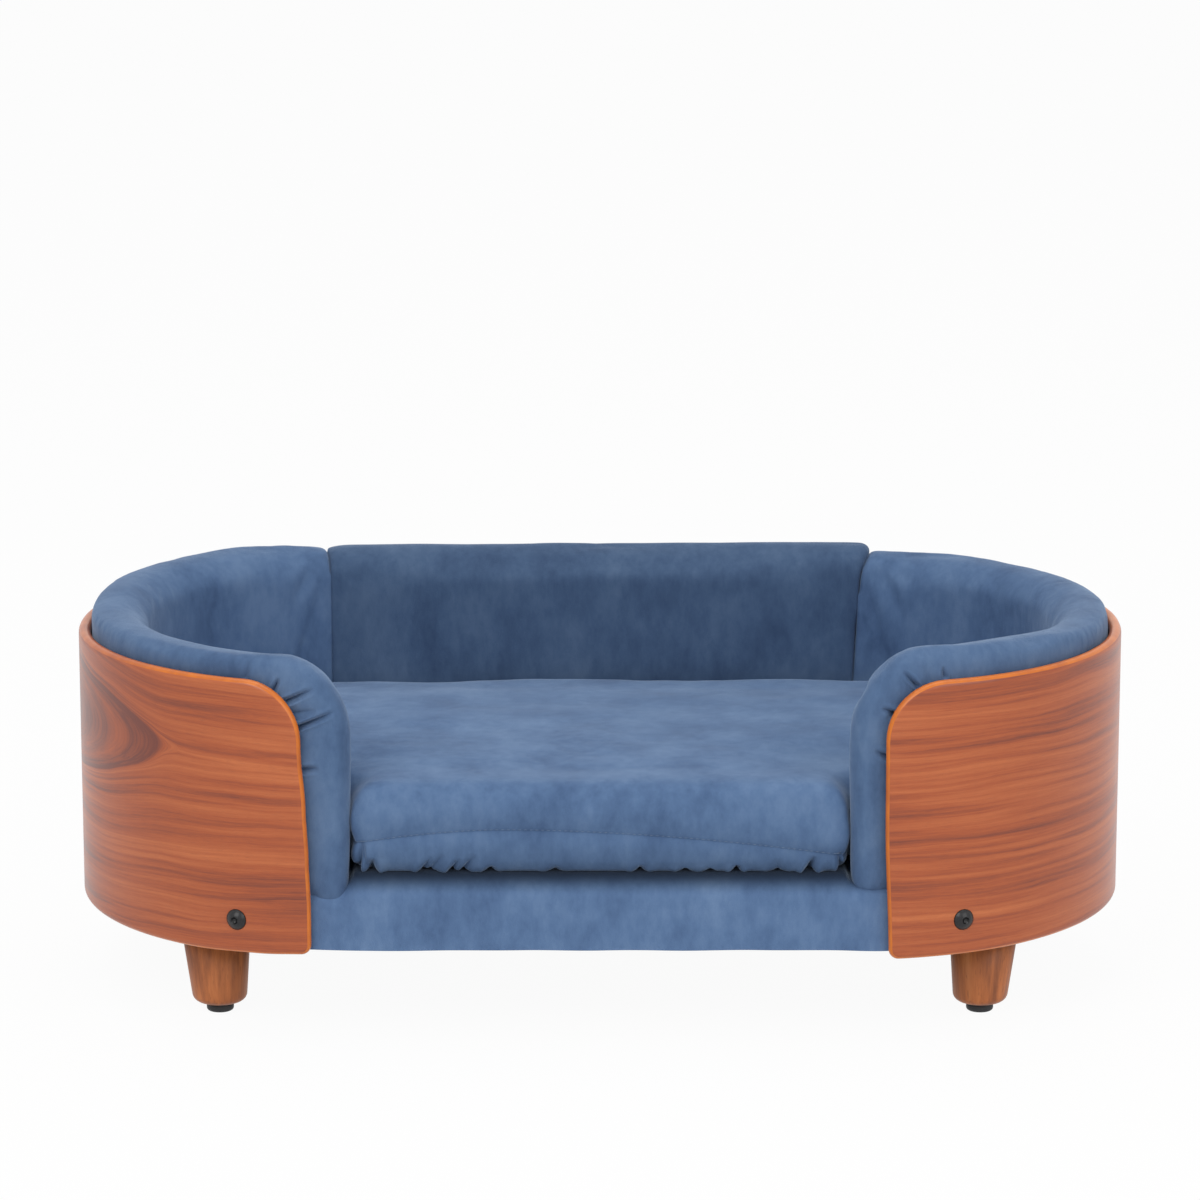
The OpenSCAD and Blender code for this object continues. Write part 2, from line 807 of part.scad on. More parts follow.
// Domed bolt with a hexagon socket
module panel_bolt() {
    r = bolt_head_diameter / 2;
    dome = (r * r + bolt_head_height * bolt_head_height) / (2 * bolt_head_height);
    difference() {
        union() {
            translate([0, 0, plan_radius - bolt_length]) cylinder(h = bolt_length, d = bolt_diameter);
            intersection() {
                translate([0, 0, plan_radius + bolt_head_height - dome]) sphere(dome);
                translate([0, 0, plan_radius]) cylinder(h = 2 * dome, r = r + overrun);
            }
        }
        translate([0, 0, plan_radius + bolt_head_height - socket_depth])
            cylinder(h = socket_depth + overrun, d = socket_across / cos(30), $fn = 6);
    }
}

module insert_nut() {
    translate([0, 0, plan_radius - rail_inset - insert_length]) difference() {
        cylinder(h = insert_length, d = insert_diameter);
        translate([0, 0, -overrun])
            cylinder(h = insert_length + 2 * overrun, d = bolt_diameter + 2 * bore_clearance);
    }
}

module wing_bolts() {
    color(black_steel) for (x = [-1, 1], y = [-1, 1])
        at_corner(x, y, bolt_angle) panel_bolt();
}

module back_bolts() {
    color(black_steel) for (x = [-1, 1])
        at_back(x * back_bolt_place) panel_bolt();
}

module insert_nuts() {
    color(zinc) union() {
        for (x = [-1, 1], y = [-1, 1])
            at_corner(x, y, bolt_angle) insert_nut();
        for (x = [-1, 1])
            at_back(x * back_bolt_place) insert_nut();
    }
}

left_wing_panel();
right_wing_panel();
back_panel();
left_bolster_cover();
left_bolster_foam();
left_bolster_board();
right_bolster_cover();
right_bolster_foam();
right_bolster_board();
back_bolster_cover();
back_bolster_foam();
back_bolster_board();
seat_cushion_cover();
seat_cushion_filling();
seat_cushion_foam();
seat_zip();
zip_slider();
base_front_rail();
base_back_rail();
base_left_end_rail();
base_right_end_rail();
base_left_cross_rail();
base_middle_rail();
base_right_cross_rail();
leg_block(-1, -1);  // front_left_leg_block
leg_block(1, -1);  // front_right_leg_block
leg_block(-1, 1);  // rear_left_leg_block
leg_block(1, 1);  // rear_right_leg_block
base_deck();
deck_foam();
base_cover();
dust_cover();
leg(-1, -1);  // front_left_leg
leg(1, -1);  // front_right_leg
leg(-1, 1);  // rear_left_leg
leg(1, 1);  // rear_right_leg
glide(-1, -1);  // front_left_glide
glide(1, -1);  // front_right_glide
glide(-1, 1);  // rear_left_glide
glide(1, 1);  // rear_right_glide
leg_plate(-1, -1);  // front_left_leg_plate
leg_plate(1, -1);  // front_right_leg_plate
leg_plate(-1, 1);  // rear_left_leg_plate
leg_plate(1, 1);  // rear_right_leg_plate
hanger_bolts();
plate_screws();
glide_screws();
wing_bolts();
back_bolts();
insert_nuts();
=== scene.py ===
"""Raised oval pet sofa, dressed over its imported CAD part: bent walnut panels with rounded edges, velvet
bolsters swollen by the cloth simulator, a boxed seat cushion with a stitched seam, a covered base and
turned legs."""

import json
import math

import bmesh
import bpy
from bpy.props import FloatProperty, FloatVectorProperty, IntProperty, PointerProperty
from mathutils import Matrix, Vector, noise
from mathutils.bvhtree import BVHTree
from mathutils.kdtree import KDTree


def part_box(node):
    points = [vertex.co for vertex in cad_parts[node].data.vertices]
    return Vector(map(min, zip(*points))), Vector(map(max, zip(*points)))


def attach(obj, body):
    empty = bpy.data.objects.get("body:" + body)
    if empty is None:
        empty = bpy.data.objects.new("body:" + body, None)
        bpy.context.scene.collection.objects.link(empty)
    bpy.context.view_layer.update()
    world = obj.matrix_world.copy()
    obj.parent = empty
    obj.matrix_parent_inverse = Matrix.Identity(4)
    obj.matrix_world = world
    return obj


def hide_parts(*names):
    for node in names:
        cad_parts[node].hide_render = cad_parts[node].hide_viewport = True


bl_info = {
    "name": "Raised Pet Sofa",
    "version": (1, 0, 0),
    "blender": (4, 5, 0),
    "location": "3D Viewport > Sidebar > Pet Sofa",
    "description": "Builds the wood, velvet and hardware of a raised oval pet sofa over its CAD frame",
    "category": "Add Mesh",
}

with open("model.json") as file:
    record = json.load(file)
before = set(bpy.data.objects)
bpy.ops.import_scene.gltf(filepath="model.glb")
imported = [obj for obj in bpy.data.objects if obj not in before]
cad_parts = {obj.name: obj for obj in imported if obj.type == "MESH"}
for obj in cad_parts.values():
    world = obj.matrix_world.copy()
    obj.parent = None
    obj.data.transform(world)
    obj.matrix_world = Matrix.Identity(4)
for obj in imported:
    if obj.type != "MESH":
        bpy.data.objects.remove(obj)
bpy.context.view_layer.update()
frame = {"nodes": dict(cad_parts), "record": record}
WING_LOW, WING_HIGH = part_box("right_wing_panel")
BACK_LOW, BACK_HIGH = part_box("back_panel")
BOLSTER_LOW, BOLSTER_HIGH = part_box("right_bolster_cover")
SEAT_LOW, SEAT_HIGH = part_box("seat_cushion_cover")
BASE_LOW, BASE_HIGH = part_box("base_cover")
DECK_LOW, DECK_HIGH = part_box("base_deck")
ZIP_LOW, ZIP_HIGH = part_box("seat_zip")
TINY = 1e-6
WELD = 1e-5


def length(name, description, default):
    return FloatProperty(name=name, description=description, default=default, min=0.0, precision=4, unit="LENGTH")


def share(name, description, default):
    return FloatProperty(name=name, description=description, default=default, min=0.0, max=1.0)


def colour(name, description, default):
    return FloatVectorProperty(name=name, description=description, default=default, size=3, min=0.0, max=1.0,
                               subtype="COLOR")


class ShellSizes(bpy.types.PropertyGroup):
    """Sizes of the wooden shell"""

    corner_radius: length("Corner radius", "Radius of the oval's corners on the outer face of the wood", 0.245)
    thickness: length("Thickness", "Thickness of the bent plywood", 0.011)
    wing_start: length("Wing start", "Distance from the middle of the front to a wing's front end", 0.254)
    top_corner: length("Top corner", "Radius of the upper corners of a panel", 0.053)
    low_corner: length("Low corner", "Radius of the lower corners of a panel", 0.009)
    gap: length("Gap", "Gap between a wing and the back panel", 0.003)
    slice_length: length("Slice length", "Length of the facets along the bent wood", 0.008)


class BolsterSizes(bpy.types.PropertyGroup):
    """Sizes of the three bolsters"""

    start: length("Start", "Distance from the middle of the front to a side bolster's front end", 0.2205)
    outer_inset: length("Outer inset", "Distance of a bolster from the outer face of the wood", 0.0120)
    inner_inset: length("Inner inset", "Distance of a bolster's inner face from the outer face of the wood", 0.0590)
    front_corner: length("Front corner", "Radius of the upper front corner", 0.066)
    foot_corner: length("Foot corner", "Radius of the lower front corner", 0.014)
    outer_round: length("Outer round", "Rounding of the edge beside the wood", 0.015)
    inner_round: length("Inner round", "Rounding of the inner edge", 0.025)
    seam_round: length("Seam round", "Rounding beside the seams of the back", 0.0035)
    seam_corner: length("Seam corner", "Radius of a side bolster's upper corner at its seam", 0.0025)
    back_corner: length("Back corner", "Radius of the back bolster's upper corners", 0.005)
    press: length("Press", "How far a side bolster presses into the back bolster", 0.002)
    margin: length("Margin", "Distance of the foam from the velvet", 0.009)
    foam_drop: length("Foam drop", "How far the foam stays below a bolster's top", 0.034)
    board_gap: length("Board gap", "Gap between the wood and the bent board in a bolster", 0.005)
    board: length("Board", "Thickness of the bent board in a bolster", 0.0035)
    spacing: length("Spacing", "Size of the cloth's cells before the last subdivision", 0.005)
    swell: length("Swell", "Most that the padding pushes the velvet out", 0.004)


class SeatSizes(bpy.types.PropertyGroup):
    """Sizes of the loose seat cushion"""

    side_height: length("Side height", "Height of the cushion's side up to the stitched seam", 0.0335)
    wall: length("Wall", "Height of the top panel's steep side above the seam", 0.0395)
    wall_round: length("Wall round", "Rounding of the top panel's edge", 0.018)
    low_round: length("Low round", "Rounding of the cushion's lower edge", 0.008)
    crown: length("Crown", "Further height of the padded top before it swells", 0.006)
    crown_reach: length("Crown reach", "Distance from the edge over which the top rises", 0.040)
    bulge: length("Bulge", "How far the steep side bulges out above the seam", 0.0025)
    neck_inset: length("Neck inset", "Distance of the cushion's round sides from the outer face of the wood", 0.0635)
    tongue: length("Tongue", "Half width of the tongue between the bolsters' front ends", 0.2200)
    neck_round: length("Neck round", "Radius of the inner corners beside the tongue", 0.018)
    front_round: length("Front round", "Radius of the tongue's front corners", 0.012)
    forward: length("Forward", "How far the cushion's front stands forward of its CAD front", 0.006)
    sag: length("Sag", "How far the front's lower edge sags over the base's edge", 0.0025)
    slack: length("Slack", "How far the flat cover starts inside its final outline", 0.002)
    spacing: length("Spacing", "Size of the cloth's cells before the last subdivision", 0.006)
    swell: length("Swell", "Most that the filling pushes the velvet out", 0.006)
    swell_reach: length("Swell reach", "Distance from the edge over which the top's swelling grows", 0.090)
    seam_peak: FloatProperty(name="Seam peak", description="Where along the front the seam is highest",
                             default=-0.084, unit="LENGTH")
    seam_rise: length("Seam rise", "Height of the front seam's peak above the seam round the sides", 0.004)
    seam_drop_left: length("Left seam drop", "Drop of the front seam towards the left corner", 0.013)
    seam_drop_right: length("Right seam drop", "Drop of the front seam towards the right corner", 0.024)
    stitch: length("Stitch", "Length of a stitch", 0.0032)
    stitch_step: length("Stitch step", "Distance from one stitch to the next", 0.0050)
    thread: length("Thread", "Radius of the thread", 0.0003)
    wrap_inset: length("Wrap inset", "Distance of the filling from the velvet", 0.0115)


class BaseSizes(bpy.types.PropertyGroup):
    """Sizes of the covered base"""

    inset: length("Inset", "Distance of the base from the outer face of the wood", 0.0115)
    shoulder: length("Shoulder", "Height of the base's ledge under the bolsters, above the floor", 0.1405)
    front_round: length("Front round", "Radius of the padded front edge before it sinks", 0.010)
    front_reach: length("Front reach", "Distance from the front over which the padded top sinks", 0.024)
    front_sink: length("Front sink", "How far the padded top sinks at the front", 0.0125)
    left_sink: length("Left sink", "How far the ledge under the left bolster sinks at the front", 0.0190)
    right_sink: length("Right sink", "How far the ledge under the right bolster sinks at the front", 0.0085)
    # Painted shadow: how far below its top the base's velvet is painted dark, where the seat cushion's shadow falls
    crushed: length("Painted shade", "How far below its top the base's velvet is crushed dark by the cushion", 0.0190)
    tongue: length("Tongue", "Half width of the raised middle between the bolsters' front ends", 0.217)
    ledge: length("Ledge", "Width of the ledge that the bolsters stand on", 0.0510)
    pad_inset: length("Pad inset", "Distance of the foam pad from the velvet's outer face", 0.0525)
    deck_inset: length("Deck inset", "Distance of the deck from the velvet's outer face", 0.0125)
    lining_inset: length("Lining inset", "Distance of the lining's edge from the velvet's outer face", 0.004)
    hang: length("Hang", "How far the velvet hangs below the frame", 0.0018)
    fabric: length("Fabric", "Thickness of the velvet", 0.0011)
    spacing: length("Spacing", "Size of the cloth's cells", 0.005)


class LegSizes(bpy.types.PropertyGroup):
    """Sizes of the turned legs and their glides"""

    foot_radius: length("Foot radius", "Radius of a leg at its foot", 0.024)
    foot_round: length("Foot round", "Rounding of a leg's foot", 0.007)
    glide_radius: length("Glide radius", "Radius of a glide", 0.0122)
    glide_round: length("Glide round", "Rounding of a glide's lower edge", 0.0026)
    lean: length("Lean", "How far a foot stands inwards of the leg's top", 0.0030)
    steps: IntProperty(name="Steps", description="Facets round a turned piece", default=96, min=24)


class BoltSizes(bpy.types.PropertyGroup):
    """Sizes of the domed bolts of the wings"""

    head_radius: length("Head radius", "Radius of a bolt's domed head", 0.0095)
    head_height: length("Head height", "Height of a bolt's domed head", 0.0052)
    shank_radius: length("Shank radius", "Radius of a bolt's shank", 0.004)
    shank: length("Shank", "Length of a bolt's shank below the head", 0.029)
    socket: length("Socket", "Radius of the hexagonal socket over its corners", 0.0036)
    socket_depth: length("Socket depth", "Depth of the hexagonal socket", 0.003)
    level: length("Level", "Height of the bolts above the floor", 0.1087)
    angle: FloatProperty(name="Angle", description="Angle of a bolt round its corner, from the front or the back",
                         subtype="ANGLE", default=math.radians(21.5))


class Finishes(bpy.types.PropertyGroup):
    """Colours of the materials"""

    velvet: colour("Velvet", "Velvet", (0.084, 0.146, 0.268))
    velvet_light: colour("Velvet light", "Velvet where its nap is brushed up", (0.118, 0.190, 0.322))
    velvet_dark: colour("Velvet dark", "Velvet where its nap lies down", (0.058, 0.104, 0.204))
    walnut: colour("Walnut", "Veneer", (0.395, 0.087, 0.026))
    walnut_light: colour("Walnut light", "Light grain of the veneer", (0.545, 0.152, 0.048))
    walnut_dark: colour("Walnut dark", "Dark grain of the veneer", (0.170, 0.040, 0.024))
    wood_edge: colour("Wood edge", "Rounded edge of the plywood", (0.660, 0.170, 0.013))
    leg: colour("Leg", "Wood of the legs", (0.530, 0.172, 0.055))
    leg_dark: colour("Leg dark", "Pores and grain of the legs", (0.270, 0.086, 0.034))
    thread: colour("Thread", "Thread of the cushion's seam", (0.150, 0.225, 0.350))


class StageSizes(bpy.types.PropertyGroup):
    """Camera and lights"""

    camera_distance: length("Camera distance", "How far the camera stands in front of the bed's middle", 4.5489)
    camera_height: length("Camera height", "Height of the camera above the floor", 1.3838)
    camera_pitch: FloatProperty(name="Camera pitch", description="How far the camera looks down", subtype="ANGLE",
                                default=math.radians(12.873))
    lens: FloatProperty(name="Lens", description="Focal length in millimetres on a 36 mm sensor", default=153.34)
    surround: share("Surround", "Strength of the plain light from all round", 0.55)
    floor_glow: share("Floor glow", "Share of the floor's brightness that doesn't depend on the lamps", 0.95)


# Plan of the bed


class OvalPlan:
    """Oval plan of the bed. A run is measured along the outer face of the wood from the middle of the front,
    round the right side, and an inset goes inwards from that face."""

    def __init__(self, radius):
        self.radius = radius
        self.half_width = WING_HIGH.x
        self.half_depth = BACK_HIGH.y
        self.front = self.half_width - radius
        self.side = self.half_depth - radius
        self.arc = radius * math.pi / 2
        self.half_run = 2 * (self.front + self.arc + self.side)

    def place(self, run, inset):
        if run > self.half_run:
            x, y = self.place(2 * self.half_run - run, inset)
            return -x, y
        if run < 0:
            x, y = self.place(-run, inset)
            return -x, y
        r = self.radius - inset
        if run <= self.front:
            return run, inset - self.half_depth
        run -= self.front
        if run <= self.arc:
            a = run / self.radius
            return self.front + r * math.sin(a), -self.side - r * math.cos(a)
        run -= self.arc
        if run <= 2 * self.side:
            return self.half_width - inset, run - self.side
        run -= 2 * self.side
        if run <= self.arc:
            a = run / self.radius
            return self.front + r * math.cos(a), self.side + r * math.sin(a)
        return self.front - (run - self.arc), self.half_depth - inset

    def unroll(self, x, y):
        """Run and inset of a point of the right half; the left half gives the same as its mirror image."""
        x = abs(x)
        if x <= self.front:
            return (x if y < 0 else self.half_run - x), self.half_depth - abs(y)
        if abs(y) <= self.side:
            return self.front + self.arc + y + self.side, self.half_width - x
        across, out = x - self.front, abs(y) - self.side
        run = self.front + math.atan2(across, out) * self.radius
        return (run if y < 0 else self.half_run - run), self.radius - math.hypot(across, out)


def bed_plan():
    return OvalPlan(bpy.context.scene.pet_sofa.shell.corner_radius)


# Mesh tools


def bevel(bm, geom, radius, segments, affect):
    bmesh.ops.bevel(bm, geom=geom, offset=radius, offset_type="OFFSET", segments=segments, profile=0.5,
                    affect=affect, material=-1)


def bevel_corner(bm, place, radius, segments):
    corner = min(bm.verts, key=lambda v: (v.co - place).length)
    bevel(bm, [corner], radius, segments, "VERTICES")


def bevel_rim(bm, axis, level, radius, segments, wanted=lambda e: True):
    """Rounds the edges that lie at one level of an axis"""
    rim = [e for e in bm.edges if all(abs(v.co[axis] - level) < TINY for v in e.verts) and wanted(e)]
    bevel(bm, rim, radius, segments, "EDGES")


def slice_at(bm, place, way, clear=False):
    """Cuts a mesh in two along a plane, clears the side that the plane looks at if asked, and gives the cut"""
    return bmesh.ops.bisect_plane(bm, geom=bm.verts[:] + bm.edges[:] + bm.faces[:], dist=TINY, plane_co=place,
                                  plane_no=way, clear_outer=clear)["geom_cut"]


def cut_end(bm, run, way, radius, segments):
    """Cuts a board square at a run, closes it and rounds the cut's edges"""
    cut = slice_at(bm, (run, 0, 0), (way, 0, 0), True)
    bmesh.ops.edgeloop_fill(bm, edges=[g for g in cut if isinstance(g, bmesh.types.BMEdge)])
    bevel_rim(bm, 0, run, radius, segments)
    close_up(bm)


def extrude_by(bm, faces, way, hollow=False):
    """Grows faces out of a mesh. Hollow takes away the faces that they grew from."""
    grown = bmesh.ops.extrude_face_region(bm, geom=faces)["geom"]
    bmesh.ops.translate(bm, verts=[g for g in grown if isinstance(g, bmesh.types.BMVert)], vec=way)
    if hollow:
        bmesh.ops.delete(bm, geom=faces, context="FACES")


def slice_along(bm, axis, step):
    """Cuts a mesh into slices no wider than a step"""
    low = min(v.co[axis] for v in bm.verts)
    high = max(v.co[axis] for v in bm.verts)
    count = math.ceil((high - low) / step)
    for i in range(1, count):
        at, way = [0.0] * 3, [0.0] * 3
        at[axis] = low + (high - low) * i / count
        way[axis] = 1.0
        slice_at(bm, at, way)


def face_out(bm):
    bmesh.ops.recalc_face_normals(bm, faces=bm.faces[:])


def close_up(bm):
    bmesh.ops.remove_doubles(bm, verts=bm.verts[:], dist=WELD)
    face_out(bm)


def rounded_board(runs, levels, insets, corners, rounds, segments):
    """Flat board in run, inset and height, with a radius for each corner (upper start, upper end, lower end,
    lower start) and a rounding for its outer and inner edges"""
    bm = bmesh.new()
    bmesh.ops.create_grid(bm, x_segments=1, y_segments=1, size=0.5)
    wide, high = runs[1] - runs[0], levels[1] - levels[0]
    stand = Matrix(((wide, 0, 0, sum(runs) / 2), (0, 0, 1, insets[0]), (0, high, 0, sum(levels) / 2), (0, 0, 0, 1)))
    bmesh.ops.transform(bm, matrix=stand, verts=bm.verts[:])
    places = ((runs[0], levels[1]), (runs[1], levels[1]), (runs[1], levels[0]), (runs[0], levels[0]))
    for (run, level), radius in zip(places, corners):
        bevel_corner(bm, Vector((run, insets[0], level)), radius, segments)
    extrude_by(bm, bm.faces[:], (0, insets[1] - insets[0], 0))
    for inset, radius in zip(insets, rounds):
        bevel_rim(bm, 1, inset, radius, segments // 2)
    close_up(bm)
    return bm


def tongued_face(oval, tongue, level):
    """Face in the shape of an oval (side, back, corner radius) with a tongue (half width, front, radius beside
    its root, radius of its front corners) that comes forward"""
    (side, back, turn), (half, front, root, tip) = oval, tongue
    corners = ((side, back, turn), (side, -back, turn), (half, -back, root), (half, front, tip))
    corners += tuple((-x, y, r) for x, y, r in reversed(corners))
    bm = bmesh.new()
    bm.faces.new([bm.verts.new((x, y, level)) for x, y, r in corners])
    for x, y, r in corners:
        bevel_corner(bm, Vector((x, y, level)), r, 12)
    face_out(bm)
    return bm


def thicken(bm, height):
    """Raises a flat face into a closed slab"""
    extrude_by(bm, bm.faces[:], (0, 0, height))
    close_up(bm)
    return bm


def bend_round(bm, plan):
    for v in bm.verts:
        v.co = (*plan.place(v.co.x, v.co.y), v.co.z)


def mirror_left(bm):
    bmesh.ops.scale(bm, vec=(-1, 1, 1), verts=bm.verts[:])
    bmesh.ops.reverse_faces(bm, faces=bm.faces[:])


def turned(outline, rounded, steps):
    """Spins an outline of radius and height round an upright axis, some of its points rounded"""
    bm = bmesh.new()
    verts = [bm.verts.new((r, 0, z)) for r, z in outline]
    edges = [bm.edges.new(pair) for pair in zip(verts, verts[1:])]
    for index, (radius, segments) in rounded.items():
        bevel(bm, [verts[index]], radius, segments, "VERTICES")
    bmesh.ops.spin(bm, geom=bm.verts[:] + bm.edges[:], cent=(0, 0, 0), axis=(0, 0, 1), angle=2 * math.pi,
                   steps=steps, use_merge=True)
    close_up(bm)
    return bm


def make_object(name, bm):
    mesh = bpy.data.meshes.new(name)
    bm.to_mesh(mesh)
    bm.free()
    return link(bpy.data.objects.new(name, mesh))


def link(thing):
    bpy.context.scene.collection.objects.link(thing)
    return thing


def make_piece(name, bm, materials, body="bed", stands_for=()):
    """Turns a mesh into a piece of the object that rides on a body and takes the finishes that it is given"""
    piece = make_object(name, bm)
    piece.data.shade_smooth()
    for material in materials:
        piece.data.materials.append(material)
    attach(piece, body)
    if stands_for:
        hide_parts(*stands_for)
    return piece


def settle(piece):
    """Replaces a piece's mesh by what its modifiers make of it"""
    bpy.context.view_layer.update()
    result = bpy.data.meshes.new_from_object(piece.evaluated_get(bpy.context.evaluated_depsgraph_get()))
    result.name = piece.name
    piece.modifiers.clear()
    piece.data = result


def remesh(piece, spacing):
    grid = piece.modifiers.new("Remesh", "REMESH")
    grid.mode = "VOXEL"
    grid.voxel_size = spacing
    grid.use_smooth_shade = True
    settle(piece)


PRESSURE = 4.0
FRAMES = 20


def swell(piece, most, grip, inward=1.0):
    """Blows a closed cloth piece up with the cloth simulator, held where grip is 1, and moves no point further
    than most. Of what the cloth draws in it keeps only a share."""
    start = [v.co.copy() for v in piece.data.vertices]
    out = [v.normal.copy() for v in piece.data.vertices]
    held = piece.vertex_groups.new(name="held")
    for i, co in enumerate(start):
        held.add([i], grip(co), "REPLACE")
    cloth = piece.modifiers.new("Cloth", "CLOTH")
    cloth.settings.quality = 5
    cloth.settings.use_pressure = True
    cloth.settings.uniform_pressure_force = PRESSURE
    cloth.settings.effector_weights.gravity = 0.0
    cloth.settings.vertex_group_mass = "held"
    cloth.point_cache.frame_start = 1
    cloth.point_cache.frame_end = FRAMES
    for number in range(1, FRAMES + 1):
        bpy.context.scene.frame_set(number)
    settle(piece)
    bpy.context.scene.frame_set(1)
    for v, rest, normal in zip(piece.data.vertices, start, out):
        move = v.co - rest
        move -= normal * (min(0.0, move.dot(normal)) * (1 - inward))
        v.co = rest + move
        free = most * (1 - grip(rest))
        if move.length > free:
            v.co = rest + move * (free / max(move.length, TINY))
    soft = piece.modifiers.new("Smooth", "SMOOTH")
    soft.iterations = 2
    finer = piece.modifiers.new("Subdivision", "SUBSURF")
    finer.levels = finer.render_levels = 1
    settle(piece)
    piece.data.shade_smooth()


def smooth_step(low, high, x):
    t = min(1.0, max(0.0, (x - low) / (high - low)))
    return t * t * (3 - 2 * t)


def fade(low, high, x):
    return 1 - smooth_step(low, high, x)


def hill(x, width):
    return math.exp(-((x / width) ** 2))


def refine(piece, wanted):
    """Gives a piece finer cloth in one place"""
    bm = bmesh.new()
    bm.from_mesh(piece.data)
    chosen = {v for v in bm.verts if wanted(v.co, v.normal)}
    edges = [e for e in bm.edges if e.verts[0] in chosen and e.verts[1] in chosen]
    bmesh.ops.subdivide_edges(bm, edges=edges, cuts=2, use_grid_fill=True)
    bm.to_mesh(piece.data)
    bm.free()
    piece.data.shade_smooth()


def fold(across, along, start, end, width, depth):
    """Depth of a fold at a point of the cloth: a sharp valley in a soft hollow, between low ridges, deepest at
    its start"""
    way_x, way_y = end[0] - start[0], end[1] - start[1]
    t = ((across - start[0]) * way_x + (along - start[1]) * way_y) / (way_x * way_x + way_y * way_y)
    t = min(1.0, max(0.0, t))
    off = math.hypot(across - start[0] - t * way_x, along - start[1] - t * way_y) / width
    if off > 8:
        return 0.0
    return depth * (1 - t * t) * (0.6 * hill(off, 1.0) + 0.5 * hill(off, 3.0) - 0.35 * hill(off - 4.0, 1.8))


def carve(piece, depth_at):
    """Moves each point of a piece inwards along its normal"""
    normals = [v.normal.copy() for v in piece.data.vertices]
    for v, normal in zip(piece.data.vertices, normals):
        v.co = v.co - normal * depth_at(v.co, normal)
    piece.data.update()


def ripple(co, size, height):
    """Soft unevenness of padded cloth"""
    return height * noise.noise(co / size)


# Materials


class Value:
    """A number that varies over a surface. Python's operators on it add Math nodes."""

    def __init__(self, finish, socket):
        self.finish = finish
        self.socket = socket

    def _maths(self, operation, *others):
        return self.finish.node("ShaderNodeMath", {"operation": operation}, dict(enumerate((self, *others))))

    def __add__(self, other):
        return self._maths("ADD", other)

    __radd__ = __add__

    def __sub__(self, other):
        return self._maths("SUBTRACT", other)

    def __rsub__(self, other):
        return self.finish.node("ShaderNodeMath", {"operation": "SUBTRACT"}, {0: other, 1: self})

    def __mul__(self, other):
        return self._maths("MULTIPLY", other)

    __rmul__ = __mul__

    def __pow__(self, other):
        return self._maths("POWER", other)

    def at_least(self, other):
        return self._maths("MAXIMUM", other)

    def sine(self):
        return self._maths("SINE")

    def sign(self):
        return self._maths("SIGN")

    def clamped(self):
        return self.finish.node("ShaderNodeMath", {"operation": "ADD", "use_clamp": True}, {0: self, 1: 0.0})

    def between(self, low, high):
        """0 below low, 1 above high and smooth between them"""
        return self.finish.node("ShaderNodeMapRange", {"interpolation_type": "SMOOTHSTEP"},
                                {"Value": self, "From Min": low, "From Max": high})


class Nodes:
    """The nodes of a material or a world under construction"""

    def __init__(self, block):
        block.use_nodes = True
        self.tree = block.node_tree

    def node(self, kind, settings=None, inputs=None, output=0):
        """Adds a node: its settings first, with a ramp's stops among them, then its sockets' values or links"""
        made = self.tree.nodes.new(kind)
        for key, value in (settings or {}).items():
            if key == "stops":
                ramp = made.color_ramp
                while len(ramp.elements) < len(value):
                    ramp.elements.new(1.0)
                for element, (position, tint) in zip(ramp.elements, value):
                    element.position = position
                    element.color = (*tint, 1.0)
            else:
                setattr(made, key, value)
        for key, value in (inputs or {}).items():
            socket = made.inputs[key]
            if isinstance(value, Value):
                self.tree.links.new(value.socket, socket)
            elif socket.type == "RGBA" and len(value) == 3:
                socket.default_value = (*value, 1.0)
            else:
                socket.default_value = value
        return Value(self, made.outputs[output])

    def rays(self, kind):
        return self.node("ShaderNodeLightPath", output=kind)

    def join(self, value, node, socket):
        self.tree.links.new(value.socket, self.tree.nodes[node].inputs[socket])


class Finish(Nodes):
    """A procedural material under construction"""

    def __init__(self, name, **constants):
        self.material = bpy.data.materials.new(name)
        super().__init__(self.material)
        for socket, value in constants.items():
            self.tree.nodes["Principled BSDF"].inputs[socket.replace("_", " ")].default_value = value

    def place(self):
        return self.node("ShaderNodeTexCoord", output="Object")

    def grain_place(self):
        """Run and height of the board before it was bent"""
        at = self.node("ShaderNodeUVMap", {"uv_map": "grain"})
        return self.axis(at, "X"), self.axis(at, "Y")

    def axis(self, vector, name):
        return self.node("ShaderNodeSeparateXYZ", None, {0: vector}, output=name)

    def joined(self, x, y, z=0.0):
        return self.node("ShaderNodeCombineXYZ", None, {0: x, 1: y, 2: z})

    def stretched(self, vector, scale):
        return self.node("ShaderNodeVectorMath", {"operation": "MULTIPLY"}, {0: vector, 1: scale})

    def cloud(self, vector, scale, detail=2.0, roughness=0.5):
        return self.node("ShaderNodeTexNoise", None,
                         {"Vector": vector, "Scale": scale, "Detail": detail, "Roughness": roughness})

    def mixed(self, amount, first, second):
        return self.node("ShaderNodeMix", {"data_type": "RGBA"}, {0: amount, 6: first, 7: second}, output=2)

    def ramp(self, amount, stops):
        return self.node("ShaderNodeValToRGB", {"stops": stops}, {0: amount})

    def bumped(self, height, distance, strength=1.0, normal=None):
        inputs = {"Height": height, "Distance": distance, "Strength": strength}
        if normal is not None:
            inputs["Normal"] = normal
        return self.node("ShaderNodeBump", None, inputs)

    def done(self, **links):
        for socket, value in links.items():
            self.join(value, "Principled BSDF", socket.replace("_", " "))
        return self.material


def kept(build):
    """Builds a material once and hands out the same one after that"""
    def get():
        name = f"{build.__name__}_finish"
        return bpy.data.materials.get(name) or build(name)

    return get


